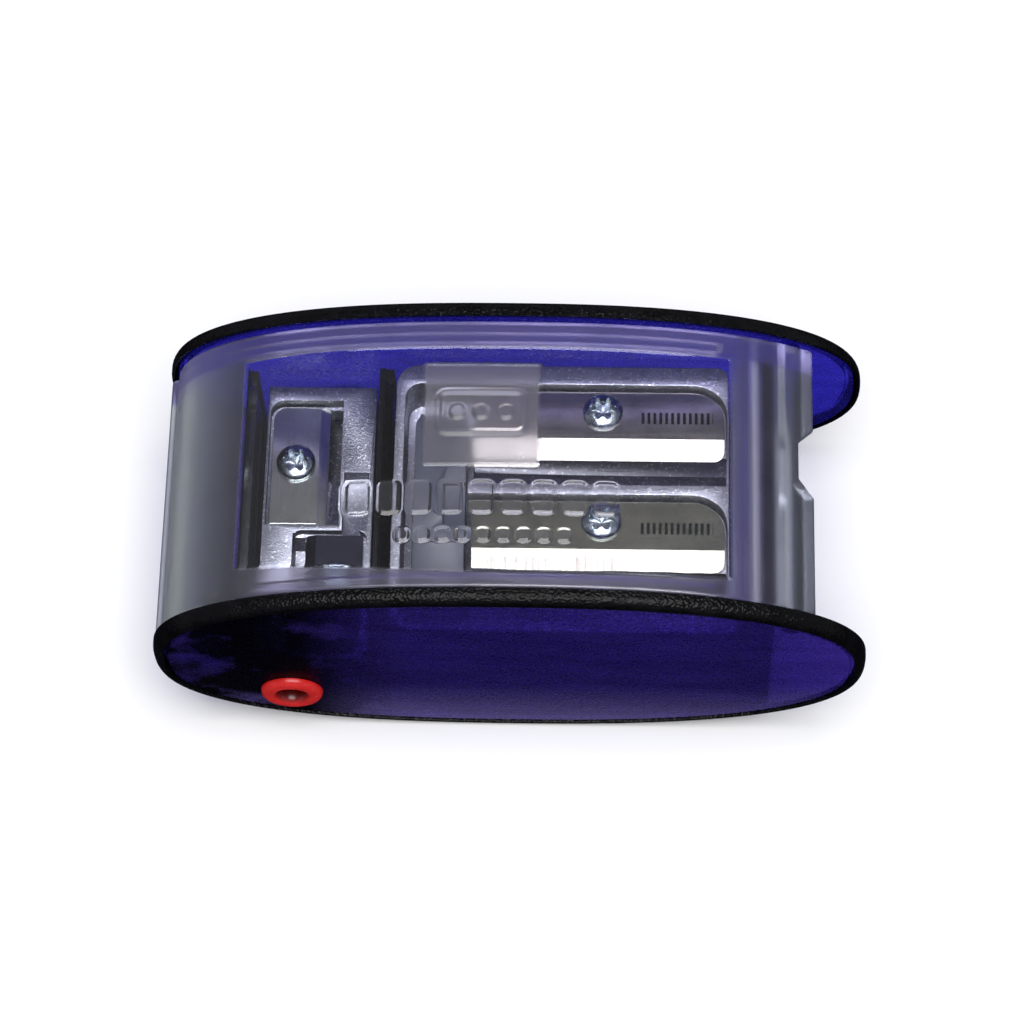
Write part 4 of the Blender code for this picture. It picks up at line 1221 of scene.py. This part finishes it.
def base_tray(look, holder_look):
    """Curved floor with the end wall and ribs, and with two dark holders for the spare blades on it."""
    width = SHELL_HALF_WIDTH
    tray = prism("case_tray", tray_floor(), "Y", -width, width)
    half = width - SMALL_GAP
    inner_x, outer_x = END_WALL_X[0], END_WALL_X[1] - SMALL_GAP
    parts = [block("end", (inner_x, -half, END_WALL_FOOT), (outer_x, half, END_WALL_TOP))]
    for way in SIDES.values():
        front, back = way * TRAY_RIB_Y - RIB_HALF, way * TRAY_RIB_Y + RIB_HALF
        parts.append(block("rib", (-8, front, 1.4), (12, back, BLOCK_LOW.z - GAP)))
        parts.append(block("rib", (-17, front, 2.2), (-13, back, POINTER_LOW.z - GAP)))
    join(tray, *parts)
    for place in HOLDER_FOOT:
        wall, cradle = spare_holder(place)
        join(wall, cradle)
        soften(wall, 0.08, 30)
        dress(wall, holder_look, "rim_black", "case", "base_tray")
    for hole in BLADE_NODES:
        cut(tray, bore(hole, SMALL_GAP))
    soften(tray, 0.12, 30)
    return dress(tray, look, "case_blue", "case", "base_tray")


# --- Lid ------------------------------------------------------------------------------------------

WINDOW_DEPTH = 0.09
WINDOW_FRONT_Y = -11.3
WINDOW_BOW = 1.5  # of the front edge, over half the bow's width
WINDOW_BOW_X = 4.0
WINDOW_BOW_HALF = 27.0
PATCH_CENTRE = (sum(PATCH_X) / 2, sum(PATCH_Y) / 2)
PATCH_HALF = ((PATCH_X[1] - PATCH_X[0]) / 2, (PATCH_Y[1] - PATCH_Y[0]) / 2)
FRAME_CENTRE = (-2.5, 3.85)
FRAME_HALF = (3.9, 2.15)
FRAME_LINE = 0.34
FRAME_FADE = 0.32
DOT_PITCH = 2.1
BARREL_RADIUS = 1.25
LIP_TOP_Z = LID_LOW.z + 0.9
LID_RIB_Y = (11.2, 12.0)
LID_RIB_X = (-26.5, 19.0)
LID_RIB_DEPTH = 0.7
CROSS_RIB_X = (21.2, 22.5)
CROSS_RIB_DEPTH = 0.7
CROSS_RIB_HALF = 0.16
NOTCH_Y = 1.6
NOTCH_FLOOR_X = 25.05
NOTCH_FLOOR_HALF = 1.75
NOTCH_MOUTH_HALF = 3.6
NOTCH_MOUTH_X = 26.7
STRETCH_FROM_X = 24.6
RAISED = 0.14
BAR_FROST = 0.3
BAR_CORNER = 0.45
BARS_IN_ROW = 9
BAR_ROWS = (  # middle of the first bar, length of the row, half size of a bar
    ((-12.9, -4.27), 21.2, (0.95, 1.5)),
    ((-9.0, -7.8), 13.8, (0.62, 0.62)),
)
BARS = [
    ((x + length * step / (BARS_IN_ROW - 1), y), half)
    for (x, y), length, half in BAR_ROWS
    for step in range(BARS_IN_ROW)
]
BARS_X = (-14.2, 9.6)
CURVE_FROM_X = -28.5  # left of this the lid's curve is stepped by height
FINE_STEP = 0.165
COARSE_STEP = 0.45
HEIGHT_STEP = 0.35
EDGE_ROUND = 0.3
LIP_ROUND = 0.25


def window_front(x):
    """The window's front edge, which bows towards the front panel."""
    return WINDOW_FRONT_Y + WINDOW_BOW * ((x - WINDOW_BOW_X) / WINDOW_BOW_HALF) ** 2


def box_distance(x, y, centre, half, radius):
    """How far a point is outside a rounded rectangle; below zero inside it."""
    dx = abs(x - centre[0]) - half[0] + radius
    dy = abs(y - centre[1]) - half[1] + radius
    outside = math.hypot(max(dx, 0), max(dy, 0))
    return outside + min(max(dx, dy), 0) - radius


def window_distance(x, y):
    """How far a point is inside the window; below zero outside it."""
    return min(x - WINDOW_X[0], WINDOW_X[1] - x, WINDOW_BACK_Y - y, y - window_front(x))


def lid_surface(x, y):
    """Height of the lid's outer surface over its plain curve, and how frosted it is."""
    window = window_distance(x, y)
    patch = box_distance(x, y, PATCH_CENTRE, PATCH_HALF, 0.1)
    clear = min(window, patch)
    height = -WINDOW_DEPTH * smooth_step(-0.15, 0.15, clear)
    frost = 1 - smooth_step(-0.15, 0.02, clear)
    if patch < 0:
        line = abs(box_distance(x, y, FRAME_CENTRE, FRAME_HALF, 0.9) + FRAME_LINE / 2)
        if line < FRAME_FADE:
            height += RAISED * smooth_step(FRAME_FADE, 0.12, line)
        for step in (-1, 0, 1):
            dot = math.dist((x, y), (FRAME_CENTRE[0] + DOT_PITCH * step, FRAME_CENTRE[1]))
            height += RAISED * (1 - smooth_step(0.55, 0.8, dot))
    for centre, half in BARS:
        if abs(x - centre[0]) > half[0] + 0.5 or abs(y - centre[1]) > half[1] + 0.5:
            continue
        away = box_distance(x, y, centre, half, BAR_CORNER)
        height += RAISED * (1 - smooth_step(-0.12, 0.12, away))
        frost = max(frost, BAR_FROST * (1 - smooth_step(-0.05, 0.1, away)))
    return height, frost


def tail_end(y):
    """Where the lid's tail ends, with the notch for the pencil."""
    away = abs(y - NOTCH_Y)
    if away <= NOTCH_FLOOR_HALF:
        return NOTCH_FLOOR_X
    part = (away - NOTCH_FLOOR_HALF) / (NOTCH_MOUTH_HALF - NOTCH_FLOOR_HALF)
    return min(LID_HIGH.x, NOTCH_FLOOR_X + (NOTCH_MOUTH_X - NOTCH_FLOOR_X) * part)


def lid_columns():
    """Points along the lid's curve from the lip to the tail, close together where there is detail."""
    z = LIP_TOP_Z + 0.12
    columns = []
    while z < MIDDLE_Z + oval_height(CURVE_FROM_X, SHELL_A, SHELL_B):
        columns.append((-oval_reach(z, SHELL_A, SHELL_B), z))
        z += HEIGHT_STEP
    x = CURVE_FROM_X
    end = LID_HIGH.x
    while x < end:
        columns.append((x, MIDDLE_Z + oval_height(x, SHELL_A, SHELL_B)))
        by_edge = min(abs(x - edge) for edge in (*WINDOW_X, *PATCH_X)) < 0.5
        by_bars = BARS_X[0] < x < BARS_X[1]
        by_hinge = x > CROSS_RIB_X[0] - 0.4
        x += FINE_STEP if by_edge or by_bars or by_hinge else COARSE_STEP
    columns.append((end, MIDDLE_Z + oval_height(end, SHELL_A, SHELL_B)))
    return columns


def lid_rows():
    """Places across the lid, close together at its rounded edges and at the ribs' sides."""
    half = SHELL_HALF_WIDTH
    rows = {0.0, *LID_RIB_Y, LID_RIB_Y[0] - 0.04, LID_RIB_Y[1] + 0.04}
    y = 0.0
    while y < half - 0.4:
        rows.add(round(y, 3))
        y += FINE_STEP
    rows |= {half - 0.35 * (1 - math.sin(turn)) for turn in quarter(6)}
    return sorted(rows | {-y for y in rows})


def edge_drop(past):
    """How far the lid's rounded edge drops, so far past where the rounding starts."""
    return EDGE_ROUND - math.sqrt(max(0, EDGE_ROUND**2 - max(0, past) ** 2))


def lid_normal(x, z):
    """Direction out of the lid's curve, as (x, z)."""
    along = math.copysign(abs(x / SHELL_A) ** (OVAL_POWER - 1) / SHELL_A, x)
    up = abs((z - MIDDLE_Z) / SHELL_B) ** (OVAL_POWER - 1) / SHELL_B
    return Vector((along, up)).normalized()


def under_lid(x, y, z):
    """Point of the lid's inner side below a point of its curve, with the ribs and the hinge barrel."""
    by_rib = LID_RIB_Y[0] <= abs(y) <= LID_RIB_Y[1] and LID_RIB_X[0] < x < LID_RIB_X[1]
    depth = LID_RIB_DEPTH if by_rib else 0
    if min(abs(x - at) for at in CROSS_RIB_X) < CROSS_RIB_HALF:
        depth = CROSS_RIB_DEPTH
    in_x = x * (SHELL_A - SHELL_WALL - depth) / SHELL_A
    in_z = MIDDLE_Z + (z - MIDDLE_Z) * (SHELL_B - SHELL_WALL - depth) / SHELL_B
    from_pin = in_x - HINGE_X
    if abs(from_pin) < BARREL_RADIUS:
        in_z = min(in_z, HINGE_Z - math.sqrt(BARREL_RADIUS**2 - from_pin**2))
    return in_x, y, in_z


def lid_ring(y, columns):
    """Section of the lid at y, over its outer side and back under it, with each point's frost."""
    side_drop = edge_drop(abs(y) - (SHELL_HALF_WIDTH - EDGE_ROUND))
    end = tail_end(y)
    stretch = (end - STRETCH_FROM_X) / (LID_HIGH.x - STRETCH_FROM_X)
    outer, inner, frosts, inner_frosts = [], [], [], []
    for x, z in columns:
        if x > STRETCH_FROM_X:
            x = STRETCH_FROM_X + (x - STRETCH_FROM_X) * stretch
            z = MIDDLE_Z + oval_height(x, SHELL_A, SHELL_B)
        height, frost = lid_surface(x, y) if x > WINDOW_X[0] - 0.5 else (0, 1)
        height -= edge_drop(EDGE_ROUND - (end - x)) + side_drop
        normal = lid_normal(x, z)
        outer.append((x + normal.x * height, y, z + normal.y * height))
        inner.append(under_lid(x, y, z))
        frosts.append(frost)
        inner_frosts.append(1 - smooth_step(-1.3, -0.9, window_distance(x, y)))
    lip = lip_points(y, side_drop)
    foot_x, _, foot_z = inner[0]
    steps = len(lip)
    rise = (foot_z - LID_LOW.z) / steps
    under = [(foot_x - 0.02 * step, y, LID_LOW.z + rise * step) for step in range(steps)]
    under_frosts = [1.0] * steps
    ring = lip + outer + inner[::-1] + under[::-1]
    return ring, under_frosts + frosts + inner_frosts[::-1] + under_frosts


def lip_points(y, side_drop):
    """The finger lip, from its outer lower corner up to the lid's curve."""
    outer_x = LID_LOW.x + side_drop
    points = [(outer_x, y, LID_LOW.z)]
    for turn in quarter(4):
        x = outer_x + LIP_ROUND * (1 - math.cos(turn))
        points.append((x, y, LIP_TOP_Z - LIP_ROUND * (1 - math.sin(turn))))
    shell_x = -oval_reach(LIP_TOP_Z, SHELL_A, SHELL_B)
    points.append((shell_x - 0.1, y, LIP_TOP_Z + 0.02))
    return points


def lid(look):
    """Lid with a clear window, raised bars, inner ribs, a hinge barrel and a notched tail."""
    columns = lid_columns()
    rings, frosts = [], []
    for y in lid_rows():
        ring, ring_frosts = lid_ring(y, columns)
        rings.append(ring)
        frosts += ring_frosts
    shell = skin("clear_lid", rings, caps="strip")
    attribute = shell.data.attributes.new("frost", "FLOAT", "POINT")
    attribute.data.foreach_set("value", frosts)
    return dress(shell, look, "lid_clear", "lid", "lid", smooth=50)


def lid_trunnion(side, look):
    """Pin at the barrel's end that turns in the panel's socket."""
    start, end = SHELL_HALF_WIDTH + 0.01, TRUNNION_END_Y
    chamfer = 0.15
    profile = [
        (0, start),
        (TRUNNION_RADIUS, start),
        (TRUNNION_RADIUS, end - chamfer),
        (TRUNNION_RADIUS - chamfer, end),
        (0, end),
    ]
    pin = turned(f"lid_pin_{side}", profile, (HINGE_X, 0, HINGE_Z), (0, SIDES[side], 0), 48)
    return dress(pin, look, "lid_clear", "lid")


# --- Whole object ---------------------------------------------------------------------------------


def build():
    add_camera()
    add_lamp()
    add_world()
    add_floor(floor_look())
    blue = blue_look("translucent_blue_tray", ((0.030, 0.018, 0.20), (0.046, 0.028, 0.30)), 0.0)
    panel_blue = {
        # The front panel has painted light along its lower edge and painted shade at its left end
        "front": blue_look("translucent_blue_front", ((0.034, 0.017, 0.19), (0.050, 0.028, 0.29)), 0.8),
        # The back panel's colour is a brighter, bluer copy of the same plastic: painted light
        "back": blue_look("translucent_blue_back", ((0.024, 0.018, 0.34), (0.038, 0.030, 0.50)), 0.0),
    }
    black, clear = band_look(), lid_look()
    # The second colour of each bush is painted shade inside its hole
    bushes = {
        "front": bush_look("red_plastic", (0.58, 0.012, 0.010), (0.09, 0.002, 0.002), "front"),
        "back": bush_look("pale_blue_plastic", (0.03, 0.10, 0.55), (0.003, 0.008, 0.05), "back"),
    }
    for side in SIDES:
        rim_band(side, black)
        side_panel(side, panel_blue[side])
        lead_bush(side, bushes[side])
    cast = cast_look("cast_magnesium", (0.33, 0.335, 0.38), 0.36)
    pointer_cast = cast_look("cast_magnesium_pointer", (0.30, 0.31, 0.35), 0.36)
    blade_grain = (0.15, 14, 3)
    steel = {
        "wood": steel_look("blade_steel", (0.42, 0.40, 0.38), blade_grain, "wood"),
        "graphite": steel_look("streaked_blade_steel", (0.38, 0.375, 0.31), blade_grain, "graphite"),
    }
    short_steel = {
        "back": steel_look("short_blade_steel", (0.62, 0.64, 0.58), (14, 0.15, 3)),
        # The front short blade's steel is darkened: painted shade for the shadow of the lid's front edge
        "front": steel_look("short_blade_steel_painted_shade", (0.09, 0.09, 0.13), (14, 0.15, 3)),
    }
    spare_steel = steel_look("spare_blade_steel", (0.012, 0.012, 0.014), (3, 0.15, 14))
    zinc = screw_look()
    base_tray(blue, plastic_look("dark_holder_plastic", (0.003, 0.003, 0.004), 0.4, 0.08))
    sharpener_block(cast)
    stop_plate(plastic_look("grey_plastic", (0.045, 0.05, 0.066), 0.3))
    for hole, name in BLADE_NODES.items():
        sharpening_blade(hole, steel[hole])
        blade_screw(f"{name}_screw", zinc)
    pointer_block(pointer_cast)
    for side in SIDES:
        pointer_blade(side, short_steel[side])
        blade_screw(f"pointer_screw_{side}", zinc)
    for place in HOLDER_FOOT:
        spare_blade(place, spare_steel)
    lid(clear)
    for side in SIDES:
        lid_trunnion(side, clear)
    bpy.context.scene.view_settings.view_transform = "Standard"


build()
